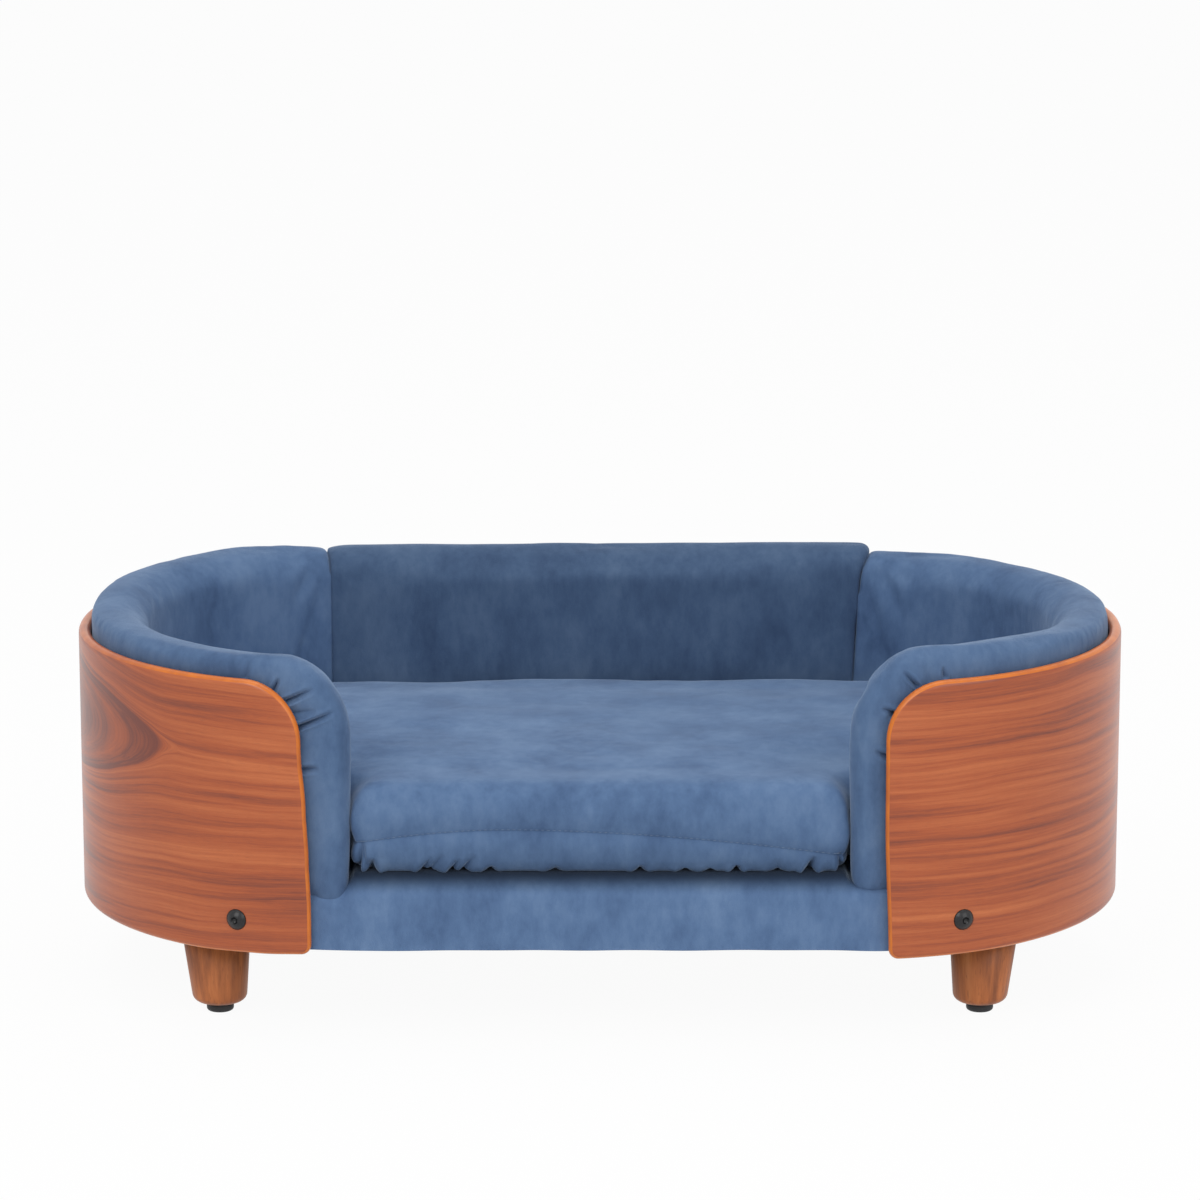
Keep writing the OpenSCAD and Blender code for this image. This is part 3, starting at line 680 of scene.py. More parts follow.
def velvet(name, brightness, crushed=None):
    """Velvet, made brighter or darker as a whole by a brightness, which paints light or shade on a copy for a part that
    is more or less lit. Painted shade darkens it by an amount from one height to another."""
    colours = bpy.context.scene.pet_sofa.finishes
    dark, middle, light = ([c * brightness for c in tint] for tint in
                           (colours.velvet_dark, colours.velvet, colours.velvet_light))
    f = Finish(name, Sheen_Weight=0.5, Sheen_Roughness=0.34, Sheen_Tint=(0.66, 0.80, 1.0, 1.0),
               Specular_IOR_Level=0.15)
    at = f.place()
    brushed = f.cloud(f.stretched(at, (1.0, 1.0, 0.7)), 17.0, 5.0, 0.6)
    strokes = f.cloud(f.stretched(at, (1.0, 1.0, 0.42)), 110.0, 3.0, 0.6)
    pile = f.cloud(at, 1400.0, 2.0, 0.7)
    nap = brushed * 0.64 + strokes * 0.24 + pile * 0.12
    tint = f.ramp(nap, ((0.36, dark), (0.5, middle), (0.64, light)))
    # Painted shade: between two heights the colour is mixed towards a near-black, standing in for the shade that falls
    # there
    if crushed:
        clear, full_shade_height, amount = crushed
        tint = f.mixed(f.axis(at, "Z").between(clear, full_shade_height) * amount, tint, [c * 0.1 for c in dark])
    coarse = f.bumped(strokes * 0.5 + brushed, 0.0022, 0.35)
    return f.done(Base_Color=tint, Roughness=0.98 - nap * 0.22, Normal=f.bumped(pile, 0.0005, 0.55, coarse))


@kept
def blue_velvet(name):
    return velvet(name, 1.0)


# Painted shade: a darker copy of the velvet for the back bolster, which stands in shade
@kept
def blue_velvet_nap_down(name):
    return velvet(name, 0.70)


# Painted light and shade: a brighter copy of the velvet for the seat cushion, painted darker towards the bottom of its
# side below the seam, where it turns away from the light
@kept
def blue_velvet_brushed(name):
    return velvet(name, 1.12, (SEAT_LOW.z + 0.034, SEAT_LOW.z + 0.004, 0.24))


# Painted light and shadow: a brighter copy of the velvet for the front-facing base, painted dark just below its top
# where the seat cushion's shadow falls
@kept
def blue_velvet_nap_up(name):
    crushed = bpy.context.scene.pet_sofa.base.crushed
    return velvet(name, 1.24, (BASE_HIGH.z - crushed, BASE_HIGH.z - 0.001, 0.93))


def veneer_figure(f):
    """Growth rings of the veneer. Its lines run level and part round one figured heart, a drop whose blunt tip
    lies at a run of 0.404 m. Gives the run, the height, the ring and how deep in the heart a point is."""
    run, height = f.grain_place()
    wave = f.cloud(f.joined(run * 2.4, height * 4.5), 1.0, 2.0)
    sway = f.cloud(f.joined(run * 10.0, height * 32.0), 1.0, 2.0)
    off = height - 0.254 + (wave - 0.5) * 0.030 + (sway - 0.5) * 0.006
    past = run - 0.402
    spread = ((past * past + 0.0002) ** 0.5 + past - 0.004).at_least(0.0) * 0.008
    ring = off.sign() * (off * off - spread).at_least(0.0) ** 0.5
    return run, height, ring, (spread - off * off).at_least(0.0) ** 0.5


@kept
def walnut_veneer(name):
    colours = bpy.context.scene.pet_sofa.finishes
    f = Finish(name, Coat_Weight=0.30, Coat_Roughness=0.2, Specular_IOR_Level=0.3)
    run, height, ring, heart = veneer_figure(f)
    bands = f.cloud(f.joined(run * 1.1, ring * 44.0, heart * 34.0), 1.0, 3.0, 0.55)
    streaks = f.cloud(f.joined(run * 4.5, ring * 190.0, heart * 90.0), 1.0, 3.0, 0.62)
    fibres = f.cloud(f.joined(run * 70.0, ring * 2400.0, heart * 900.0), 1.0, 2.0, 0.6)
    patches = f.cloud(f.joined(run * 5.0, height * 12.0), 1.0, 1.0)
    tone = bands * 0.34 + streaks * 0.38 + fibres * 0.16 + patches * 0.14 - heart.between(0.0, 0.010) * 0.095
    tint = f.ramp(tone, ((0.38, colours.walnut_dark), (0.495, colours.walnut), (0.63, colours.walnut_light)))
    pored = f.mixed(fibres.between(0.58, 0.70) * 0.45, tint, colours.walnut_dark)
    return f.done(Base_Color=pored, Roughness=0.30 + streaks * 0.16, Normal=f.bumped(streaks + fibres, 0.0002, 0.25))


@kept
def veneer_edge(name):
    colours = bpy.context.scene.pet_sofa.finishes
    f = Finish(name, Coat_Weight=0.25, Coat_Roughness=0.2, Specular_IOR_Level=0.3)
    run, height = f.grain_place()
    streaks = f.cloud(f.joined(run * 60.0, height * 60.0), 1.0, 3.0)
    browner = streaks.between(0.3, 0.75) * 0.5 + run.between(0.33, 0.52) * 0.4
    tint = f.mixed(browner.clamped(), colours.wood_edge, colours.walnut)
    return f.done(Base_Color=tint, Roughness=0.28 + streaks * 0.1)


@kept
def leg_wood(name):
    colours = bpy.context.scene.pet_sofa.finishes
    f = Finish(name, Coat_Weight=0.1, Coat_Roughness=0.25, Specular_IOR_Level=0.3)
    at = f.place()
    grain = f.cloud(f.stretched(at, (1.0, 1.0, 0.05)), 160.0, 4.0, 0.6)
    broad = f.cloud(f.stretched(at, (1.0, 1.0, 0.12)), 34.0, 2.0)
    pores = f.cloud(f.stretched(at, (1.0, 1.0, 0.07)), 620.0, 2.0, 0.6).between(0.60, 0.70)
    tone = grain * 0.55 + broad * 0.45
    tint = f.ramp(tone, ((0.34, colours.leg_dark), (0.52, colours.leg), (0.68, (0.66, 0.260, 0.095))))
    return f.done(Base_Color=f.mixed(pores * 0.55, tint, colours.leg_dark), Roughness=0.36 + grain * 0.2,
                  Normal=f.bumped(grain - pores * 0.4, 0.0003, 0.35))


def clouded(name, cloud, stops, roughness, bump=None, **constants):
    """Finish that one cloud varies, given by its scale, detail and roughness: the colours at two of its levels, the
    lowest roughness and how far it rises, and the distance and strength of the bumps"""
    f = Finish(name, **constants)
    clouds = f.cloud(f.place(), *cloud)
    links = {"Base_Color": f.ramp(clouds, stops), "Roughness": roughness[0] + clouds * roughness[1]}
    if bump:
        links["Normal"] = f.bumped(clouds, *bump)
    return f.done(**links)


@kept
def black_glide(name):
    return clouded(name, (900.0, 3.0), ((0.3, (0.010, 0.010, 0.011)), (0.7, (0.024, 0.024, 0.026))), (0.48, 0.2),
                   (0.0002, 0.3))


@kept
def black_steel(name):
    return clouded(name, (700.0, 3.0), ((0.3, (0.007, 0.007, 0.008)), (0.7, (0.017, 0.017, 0.019))), (0.22, 0.2),
                   Specular_IOR_Level=0.3, Coat_Weight=0.15, Coat_Roughness=0.1)


@kept
def bright_zinc(name):
    return clouded(name, (160.0, 4.0), ((0.3, (0.44, 0.45, 0.46)), (0.7, (0.66, 0.67, 0.67))), (0.26, 0.22),
                   Metallic=1.0)


@kept
def pine(name):
    f = Finish(name, Specular_IOR_Level=0.3)
    at = f.place()
    rings = f.cloud(f.stretched(at, (0.08, 0.35, 1.0)), 150.0, 4.0)
    fine = f.cloud(f.stretched(at, (0.1, 0.5, 1.0)), 900.0, 2.0)
    return f.done(Base_Color=f.ramp(rings * 0.7 + fine * 0.3, ((0.32, (0.50, 0.29, 0.12)), (0.62, (0.74, 0.54, 0.31)))),
                  Roughness=0.62 + fine * 0.2, Normal=f.bumped(fine, 0.0003, 0.3))


@kept
def plywood(name):
    f = Finish(name, Specular_IOR_Level=0.3)
    at = f.place()
    plies = (f.axis(at, "Z") * 4200.0).sine().between(-0.3, 0.3)
    grain = f.cloud(f.stretched(at, (0.06, 1.0, 1.0)), 220.0, 4.0)
    face = f.ramp(grain, ((0.3, (0.48, 0.31, 0.16)), (0.68, (0.68, 0.49, 0.28))))
    return f.done(Base_Color=f.mixed(plies * 0.25, face, (0.36, 0.22, 0.11)), Roughness=0.6 + grain * 0.2,
                  Normal=f.bumped(grain, 0.0003, 0.3))


@kept
def foam(name):
    return clouded(name, (900.0, 3.0, 0.7), ((0.35, (0.66, 0.57, 0.33)), (0.6, (0.88, 0.81, 0.56))), (0.92, 0.06),
                   (0.0008, 0.7), Specular_IOR_Level=0.15)


@kept
def fibre_filling(name):
    return clouded(name, (130.0, 6.0, 0.7), ((0.3, (0.70, 0.70, 0.68)), (0.65, (0.90, 0.90, 0.88))), (0.9, 0.08),
                   (0.003, 0.6), Specular_IOR_Level=0.15)


@kept
def zip_tape(name):
    f = Finish(name, Specular_IOR_Level=0.3)
    at = f.place()
    teeth = (f.axis(at, "X") * 4189.0).sine().between(-0.4, 0.4)
    weave = f.cloud(at, 1600.0, 2.0)
    tint = f.ramp(weave * 0.4 + teeth * 0.5, ((0.2, (0.035, 0.062, 0.115)), (0.7, (0.085, 0.145, 0.25))))
    return f.done(Base_Color=tint, Roughness=0.55 + weave * 0.3, Normal=f.bumped(teeth + weave * 0.3, 0.0006, 0.8))


@kept
def black_lining(name):
    return clouded(name, (420.0, 4.0, 0.7), ((0.3, (0.008, 0.008, 0.009)), (0.7, (0.022, 0.022, 0.024))), (0.9, 0.08),
                   (0.0004, 0.5), Specular_IOR_Level=0.2)


@kept
def seam_thread(name):
    colours = bpy.context.scene.pet_sofa.finishes
    f = Finish(name, Sheen_Weight=0.2)
    twist = f.cloud(f.place(), 2600.0, 2.0)
    return f.done(Base_Color=f.mixed(twist * 0.4, colours.thread, colours.velvet_light), Roughness=0.6 + twist * 0.2)


SLOT_FINISH = {"walnut_veneer": walnut_veneer, "blue_velvet": blue_velvet, "foam": foam,
               "fibre_filling": fibre_filling, "plywood": plywood, "zip_tape": zip_tape, "bright_zinc": bright_zinc,
               "pine": pine, "black_lining": black_lining, "leg_wood": leg_wood, "black_glide": black_glide,
               "black_steel": black_steel}


# Pieces


# How far a wing's front end leans back at heights above the floor, and how much lower its edge is at distances
# from its front end
END_LEAN = {"left": ((0.12, 0.0), (0.165, 0.0015), (0.215, 0.0038), (0.262, 0.0076), (0.33, 0.0085)),
            "right": ((0.08, 0.0), (0.20, -0.0042), (0.33, -0.0046))}
LOW_EDGE = {"left": ((0.0, 0.0), (0.05, 0.0017), (0.11, 0.0032), (0.9, 0.0026)),
            "right": ((0.0, 0.0042), (0.06, 0.0038), (0.2, 0.0028), (0.9, 0.0026))}


def along_table(table, x):
    """Smooth value of a table at a place along it"""
    for (low, first), (high, last) in zip(table, table[1:]):
        if x <= high:
            return first + (last - first) * smooth_step(low, high, x)
    return table[-1][1]


def wood_panel(plan, sizes, runs, side, shift):
    """Bent panel with half round edges. The grain is laid while it is flat."""
    almost_half = sizes.thickness / 2 * 0.995
    corners = (sizes.top_corner, sizes.top_corner, sizes.low_corner, sizes.low_corner)
    bm = rounded_board(runs, (WING_LOW.z, WING_HIGH.z), (0.0, sizes.thickness), corners, (almost_half,) * 2, 12)
    # A narrow rim round the two flat sides keeps the shading of the rounded edge off them
    flats = [face for face in bm.faces if len(face.verts) > 20]
    bmesh.ops.inset_region(bm, faces=flats, thickness=0.0012, use_even_offset=True)
    slice_along(bm, 0, sizes.slice_length)
    slice_along(bm, 2, 2 * sizes.slice_length)
    grain = bm.loops.layers.uv.new("grain")
    bm.normal_update()
    for face in bm.faces:
        face.material_index = 1 if abs(face.normal.y) < 0.9 else 0
        for loop in face.loops:
            loop[grain].uv = (loop.vert.co.x + shift[0], loop.vert.co.z + shift[1])
    if side in END_LEAN:
        for v in bm.verts:
            along = v.co.x - runs[0]
            low = fade(0.02, 0.09, v.co.z - WING_LOW.z)
            v.co.x += along_table(END_LEAN[side], v.co.z) * fade(0.0, 0.15, along)
            v.co.z -= low * along_table(LOW_EDGE[side], along)
    bend_round(bm, plan)
    if side == "left":
        mirror_left(bm)
    face_out(bm)
    return bm


class PETSOFA_OT_wood_panels(bpy.types.Operator):
    """Build the two bent wings and the back panel"""

    bl_idname = "pet_sofa.wood_panels"
    bl_label = "Wood Panels"

    def execute(self, context):
        sizes = context.scene.pet_sofa.shell
        plan = bed_plan()
        wing = (sizes.wing_start, plan.half_run - sizes.wing_start)
        back_half = sizes.wing_start - sizes.gap
        back = (plan.half_run - back_half, plan.half_run + back_half)
        # Each panel: name, runs, side, and how far its piece of veneer lies from the figured heart's
        panels = (("left_wing_panel", wing, "left", (0.0, 0.0)), ("right_wing_panel", wing, "right", (-3.1, 1.13)),
                  ("back_panel", back, "back", (-7.3, 2.4)))
        for name, runs, side, shift in panels:
            bm = wood_panel(plan, sizes, runs, side, shift)
            make_piece("bent_" + name, bm, (walnut_veneer(), veneer_edge()), stands_for=(name,))
        return {"FINISHED"}


# Folds where the velvet is pulled round the wood's upper front corner: start, end, width and depth,
# in run and height
LEFT_FOLDS = (
    ((0.2880, 0.3160), (0.2825, 0.3270), 0.0010, 0.0044),
    ((0.2765, 0.3062), (0.2500, 0.3182), 0.0011, 0.0066),
    ((0.2700, 0.2950), (0.2480, 0.2990), 0.0020, 0.0036),
    ((0.2665, 0.2832), (0.2300, 0.2982), 0.0010, 0.0072),
    ((0.2625, 0.2456), (0.2460, 0.2470), 0.0012, 0.0050),
    ((0.3150, 0.3260), (0.3120, 0.3400), 0.0012, 0.0018),
)
RIGHT_FOLDS = (
    ((0.2785, 0.3200), (0.2660, 0.3330), 0.0009, 0.0050),
    ((0.2620, 0.2945), (0.2460, 0.3010), 0.0011, 0.0056),
    ((0.2640, 0.2965), (0.2500, 0.2925), 0.0012, 0.0034),
    ((0.2600, 0.2545), (0.2400, 0.2630), 0.0011, 0.0056),
    ((0.3052, 0.3270), (0.3035, 0.3360), 0.0010, 0.0032),
    ((0.2900, 0.3240), (0.2850, 0.3380), 0.0020, 0.0016),
)
# The seams of the back: distance from the middle of the back at the top, lean, and how far the seam flares
# outwards at the top, over which height
SEAMS = {"left": (0.2644, 0.005, 0.004, 0.016), "right": (0.2542, 0.072, 0.0185, 0.030)}
# How much higher a bolster's top is at shares of its length, and how far its front foot droops
TOP_RISE = {"left": ((0.0, -0.002), (0.42, 0.001), (0.6, 0.0062), (0.86, 0.0070), (0.93, 0.0032), (0.975, 0.0002),
                     (1.0, -0.0020)),
            "right": ((0.0, -0.001), (0.10, 0.005), (0.19, 0.0061), (0.42, 0.0000), (0.65, 0.0004), (0.82, -0.0008),
                      (1.0, -0.0050)),
            "back": ((0.0, -0.0055), (0.025, 0.0022), (0.5, 0.0022), (0.96, 0.0008), (1.0, -0.002))}
FOOT_DROOP = {"left": 0.0175, "right": 0.0088, "back": 0.0}
# Height left for the swelling of a bolster's top, the run over which a seam's lean fades out, and the end of the
# runs that are folded
SWELL_ROOM = 0.002
SHEAR_REACH = 0.16
FOLDS_END = 0.34
COARSE_SLICE = 0.015  # Length of the facets along the foam and the board


def seam_half(side, height):
    """Distance of a seam from the middle of the back at a height"""
    half, lean, flare, reach = SEAMS[side]
    below = BOLSTER_HIGH.z - height
    return half - lean * below + flare * min(1.0, max(0.0, 1 - below / reach)) ** 2


class PETSOFA_OT_bolsters(bpy.types.Operator):
    """Build the two side bolsters and the back bolster"""

    bl_idname = "pet_sofa.bolsters"
    bl_label = "Bolsters"

    def execute(self, context):
        sizes = context.scene.pet_sofa.bolsters
        shell = context.scene.pet_sofa.shell
        plan = bed_plan()
        ends = {"back": (plan.half_run - SEAMS["right"][0], plan.half_run + SEAMS["left"][0])}
        for side in ("left", "right"):
            ends[side] = (sizes.start, plan.half_run - SEAMS[side][0] + sizes.press)
        for side, folds in (("left", LEFT_FOLDS), ("right", RIGHT_FOLDS), ("back", ())):
            self.pad(plan, sizes, shell, side, ends[side], folds)
            self.inside(plan, sizes, shell, side, ends[side])
        return {"FINISHED"}

    def pad(self, plan, sizes, shell, side, runs, folds):
        """One bolster: a flat rounded board cut square at its seams, sheared, bent, swollen and creased"""
        spare = 2 * sizes.outer_round
        start, end = runs
        if side == "back":
            corners = (sizes.back_corner,) * 4
            longer = (start - spare, end + spare)
        else:
            corners = (sizes.front_corner, sizes.seam_corner, sizes.seam_corner, sizes.foot_corner)
            longer = (start, end + spare)
        insets = (sizes.outer_inset, sizes.inner_inset)
        levels = (BOLSTER_LOW.z, BOLSTER_HIGH.z - SWELL_ROOM)
        bm = rounded_board(longer, levels, insets, corners, (sizes.outer_round, sizes.inner_round), 16)
        cut_end(bm, end, 1.0, sizes.seam_round, 4)
        if side == "back":
            cut_end(bm, start, -1.0, sizes.seam_round, 4)
        slice_along(bm, 0, shell.slice_length)
        for v in bm.verts:
            from_front, from_foot = v.co.x - start, v.co.z - levels[0]
            up = from_foot / (levels[1] - levels[0])
            low_outside = fade(0.0, 0.035, from_foot) * fade(0.016, 0.034, v.co.y - sizes.outer_inset)
            v.co.z += up * along_table(TOP_RISE[side], from_front / (end - start)) - \
                FOOT_DROOP[side] * fade(0.03, 0.12, from_front) * low_outside
            for seam, way, name in self.seams_of(plan, side):
                near = fade(0.0, SHEAR_REACH, abs(v.co.x - seam))
                v.co.x += way * near * (SEAMS[name][0] - seam_half(name, v.co.z))
            v.co.y -= 0.22 * FOOT_DROOP[side] * low_outside * fade(0.024, 0.032, from_front)
        bend_round(bm, plan)
        if side == "left":
            mirror_left(bm)
        # The back bolster takes the copy of the velvet with painted shade
        velvet_finish = blue_velvet_nap_down() if side == "back" else blue_velvet()
        piece = make_piece(f"{side}_bolster_velvet", bm, (velvet_finish,),
                           stands_for=(f"{side}_bolster_cover",))
        remesh(piece, sizes.spacing)

        def grip(co):
            run, inset = plan.unroll(co.x, co.y)
            beside_wood = fade(sizes.outer_inset + 0.003, sizes.outer_inset + 0.014, inset)
            below_rim = fade(WING_HIGH.z - 0.012, WING_HIGH.z + 0.004, co.z)
            on_base = fade(BOLSTER_LOW.z + 0.002, BOLSTER_LOW.z + 0.012, co.z)
            seam = plan.half_run - seam_half("left" if co.x < 0 else "right", co.z)
            at_seam = fade(0.002, 0.024, abs(run - seam))
            held = beside_wood * below_rim if run > shell.wing_start else 0.5 * beside_wood
            return max(on_base, at_seam, held)

        swell(piece, sizes.swell, grip)
        if folds:
            refine(piece, lambda co, normal: self.creased(plan, sizes, co))

        def depth(co, normal):
            run, inset = plan.unroll(co.x, co.y)
            out = ripple(co + Vector((0.0, 0.0, 0.31)), 0.05, 0.0006) + ripple(co, 0.018, 0.0001)
            if inset > sizes.inner_inset - 0.015 or run > FOLDS_END:
                return out
            return out + sum(fold(run, co.z, *f) for f in folds)

        carve(piece, depth)

    def seams_of(self, plan, side):
        """The seams that a bolster has: run on the flat board, way towards the middle of the back, and side"""
        right = (plan.half_run - SEAMS["right"][0], 1.0, "right")
        if side == "back":
            return right, (plan.half_run + SEAMS["left"][0], -1.0, "left")
        return ((plan.half_run - SEAMS[side][0], 1.0, side),)

    def creased(self, plan, sizes, co):
        run, inset = plan.unroll(co.x, co.y)
        return run < 0.325 and co.z > 0.232 and inset < sizes.inner_inset - 0.008 and co.y < 0

    def inside(self, plan, sizes, shell, side, runs):
        """Foam and bent board of a bolster, set back from the velvet's folds and seams"""
        start, end = runs
        if side == "back":
            start = plan.half_run - seam_half("right", BOLSTER_LOW.z)
        foam_start = start + (sizes.margin if side == "back" else 3 * sizes.margin)
        board_start = start + sizes.margin if side == "back" else shell.wing_start + shell.top_corner / 2
        at_front = 0.01 if side == "back" else 0.04
        end -= sizes.margin
        low, board = BOLSTER_LOW.z + sizes.margin, shell.thickness + sizes.board_gap
        pieces = (
            ("bolster_foam_core", "foam", foam(), "bolster_foam", foam_start, BOLSTER_HIGH.z - sizes.foam_drop,
             (sizes.outer_inset + sizes.margin + 0.001, sizes.inner_inset - sizes.margin), 0.008),
            ("bolster_bent_board", "plywood", plywood(), "bolster_board", board_start,
             WING_HIGH.z - shell.top_corner, (board, board + sizes.board), 0.001),
        )
        for name, slot, material, node, first, top, insets, edge in pieces:
            bm = rounded_board((first, end), (low, top), insets, (at_front, 0.01, 0.01, 0.01), (edge, edge), 8)
            slice_along(bm, 0, COARSE_SLICE)
            bend_round(bm, plan)
            if side == "left":
                mirror_left(bm)
            make_piece(f"{side}_{name}", bm, (material,), stands_for=(f"{side}_{node}",))


# Folds and gathers along the front of the seat cushion: start, end, width and depth, in width and height
SEAT_FOLDS = (
    ((-0.2125, 0.1510), (-0.2105, 0.1790), 0.0014, 0.0070),
    ((-0.2010, 0.1500), (-0.2000, 0.1640), 0.0020, 0.0080),
    ((-0.2055, 0.1560), (-0.2085, 0.1760), 0.0012, 0.0030),
    ((-0.1560, 0.1495), (-0.1480, 0.1660), 0.0016, 0.0052),
    ((-0.1490, 0.1500), (-0.1370, 0.1680), 0.0018, 0.0044),
    ((-0.1300, 0.1500), (-0.1230, 0.1640), 0.0015, 0.0056),
    ((-0.1210, 0.1500), (-0.1090, 0.1670), 0.0018, 0.0046),
    ((-0.0970, 0.1495), (-0.0930, 0.1560), 0.0020, 0.0040),
    ((-0.0400, 0.1495), (-0.0360, 0.1560), 0.0024, 0.0026),
    ((0.0350, 0.1495), (0.0370, 0.1570), 0.0020, 0.0036),
    ((0.0750, 0.1495), (0.0760, 0.1540), 0.0022, 0.0028),
    ((0.0970, 0.1495), (0.0990, 0.1530), 0.0022, 0.0026),
    ((0.1195, 0.1495), (0.1210, 0.1570), 0.0016, 0.0050),
    ((0.1560, 0.1500), (0.1570, 0.1640), 0.0026, 0.0024),
    ((0.1835, 0.1495), (0.1885, 0.1660), 0.0018, 0.0084),
    ((0.2135, 0.1500), (0.2120, 0.1700), 0.0016, 0.0060),
)


NEAR_ZIP = SEAT_HIGH.y - 0.012  # The zip lies in the cushion's back, behind this depth
ABOVE_SEAM = 0.001  # Height of the stitches above the seam
LOOK_FROM = 0.04  # Distance outside the cushion from which a stitch looks for the velvet


class PETSOFA_OT_seat_cushion(bpy.types.Operator):
    """Build the loose seat cushion with its stitched seam, its zip slit and its filling"""

    bl_idname = "pet_sofa.seat_cushion"
    bl_label = "Seat Cushion"

    def execute(self, context):
        sizes = context.scene.pet_sofa.seat
        plan = bed_plan()
        self.seam = SEAT_LOW.z + sizes.side_height
        bm = self.outline(plan, sizes, sizes.slack)
        rim = self.rim_tree(bm)
        extrude_by(bm, bm.faces[:], (0, 0, sizes.side_height + sizes.wall))
        bevel_rim(bm, 2, self.seam + sizes.wall, sizes.wall_round, 8)
        bevel_rim(bm, 2, SEAT_LOW.z, sizes.low_round, 4)
        close_up(bm)
        # The seat cushion takes the copy of the velvet with painted light and shade
        piece = make_piece("seat_cushion_velvet", bm, (blue_velvet_brushed(),), "seat_cushion",
                           ("seat_cushion_cover",))
        remesh(piece, sizes.spacing)
        self.crown(piece, sizes, rim)
        remesh(piece, sizes.spacing)

        def grip(co):
            at_seam = hill(co.z - self.seam, 0.005)
            on_base = fade(SEAT_LOW.z + 0.001, SEAT_LOW.z + 0.008, co.z)
            in_back = smooth_step(NEAR_ZIP, SEAT_HIGH.y - 0.004, co.y) * (co.z < self.seam)
            edge = fade(0.0, sizes.swell_reach, rim.find((co.x, co.y, 0))[2])
            at_edge = edge * smooth_step(0.5 * sizes.wall, sizes.wall, co.z - self.seam)
            return max(at_seam, on_base, in_back, at_edge, 0.35 * (co.z < self.seam))

        swell(piece, sizes.swell, grip, 0.2)
        refine(piece, lambda co, normal: self.sewn(sizes, co, normal))
        carve(piece, lambda co, normal: self.depth(sizes, co, normal))
        self.stitches(plan, sizes, piece)
        self.wrap(plan, sizes)
        return {"FINISHED"}

    def outline(self, plan, sizes, inset):
        """Outline of the cushion at its underside, moved inwards by an inset"""
        oval = (SEAT_HIGH.x - inset, SEAT_HIGH.y - inset, plan.radius - sizes.neck_inset - inset)
        front = SEAT_LOW.y - sizes.forward + inset
        tongue = (sizes.tongue - inset, front, sizes.neck_round + inset, sizes.front_round)
        return tongued_face(oval, tongue, SEAT_LOW.z)

    def walk_round(self, bm, step):
        """Points and outward directions at even steps round a lone face"""
        rim = [v.co.xy.copy() for v in bm.faces[:][0].verts]
        area = sum(a.x * b.y - b.x * a.y for a, b in zip(rim, rim[1:] + rim[:1]))
        points = []
        for a, b in zip(rim, rim[1:] + rim[:1]):
            way = b - a
            out = Vector((way.y, -way.x)).normalized() * (1 if area > 0 else -1)
            count = max(1, round(way.length / step))
            points += [(a + way * (i / count), out) for i in range(count)]
        return points

    def rim_tree(self, bm):
        """Search tree of the points round the cushion's outline"""
        points = self.walk_round(bm, 0.002)
        tree = KDTree(len(points))
        for i, (point, out) in enumerate(points):
            tree.insert((*point, 0), i)
        tree.balance()
        return tree

    def crown(self, piece, sizes, rim):
        """Raises the flat top into a steep padded crown and lets the front's lower edge sag"""
        for v in piece.data.vertices:
            if v.co.z > self.seam:
                reach = min(1.0, rim.find((v.co.x, v.co.y, 0))[2] / sizes.crown_reach)
                rise = math.sqrt(1 - (1 - reach) ** 2)
                v.co.z += smooth_step(0.0, sizes.wall, v.co.z - self.seam) * sizes.crown * rise
            elif v.co.y < SEAT_LOW.y + 0.02:
                low = fade(0.0, 0.02, v.co.z - SEAT_LOW.z)
                v.co.z -= sizes.sag * low * fade(SEAT_LOW.y, SEAT_LOW.y + 0.02, v.co.y)
        piece.data.update()

    def seam_height(self, sizes, co):
        """Height of the stitched seam, which bows along the front"""
        behind = SEAT_LOW.y + 0.03
        if co.y > behind or abs(co.x) > sizes.tongue:
            return self.seam
        off = co.x - sizes.seam_peak
        drop, reach = (sizes.seam_drop_left, sizes.tongue + sizes.seam_peak) if off < 0 else \
            (sizes.seam_drop_right, sizes.tongue - sizes.seam_peak)
        at_front = fade(SEAT_LOW.y + 0.006, behind, co.y)
        return self.seam + at_front * (sizes.seam_rise - drop * abs(off / reach) ** 1.8)

    def sewn(self, sizes, co, normal):
        near_seam = abs(co.z - self.seam_height(sizes, co)) < 0.0065 and abs(normal.z) < 0.95
        gathered = co.y < SEAT_LOW.y + 0.012 and co.z < self.seam
        zipped = co.y > NEAR_ZIP and abs(co.x) < ZIP_HIGH.x + 0.01 and co.z < self.seam - 0.002
        return near_seam or gathered or zipped

    def depth(self, sizes, co, normal):
        """How deep the cover is drawn in at a point: unevenness, seam, gathers along the front and zip slit"""
        top = smooth_step(0.3, 0.9, normal.z)
        behind_brow = smooth_step(0.004, 0.060, co.y - SEAT_LOW.y)
        out = top * behind_brow * (ripple(co + Vector((0.7, 0.0, 0.0)), 0.085, 0.0030) + ripple(co, 0.03, 0.0007))
        off = co.z - self.seam_height(sizes, co)
        out += (1 - top) * (0.0016 * hill(off, 0.0011) + 0.0020 * hill(off, 0.006) -
                            sizes.bulge * hill(off - sizes.wall / 2, sizes.wall / 3))
        if co.y < SEAT_LOW.y + 0.014 and co.z < self.seam:
            out += sum(fold(co.x, co.z, *f) for f in SEAT_FOLDS)
        middle = (ZIP_LOW.z + ZIP_HIGH.z) / 2
        half = (ZIP_HIGH.z - ZIP_LOW.z) / 2 - 0.0005
        if co.y > NEAR_ZIP and abs(co.x) < ZIP_HIGH.x and abs(co.z - middle) < half + 0.002:
            slit = fade(half - 0.001, half + 0.001, abs(co.z - middle))
            out += slit * max(0.0, co.y - ZIP_HIGH.y + 0.001)
        return out

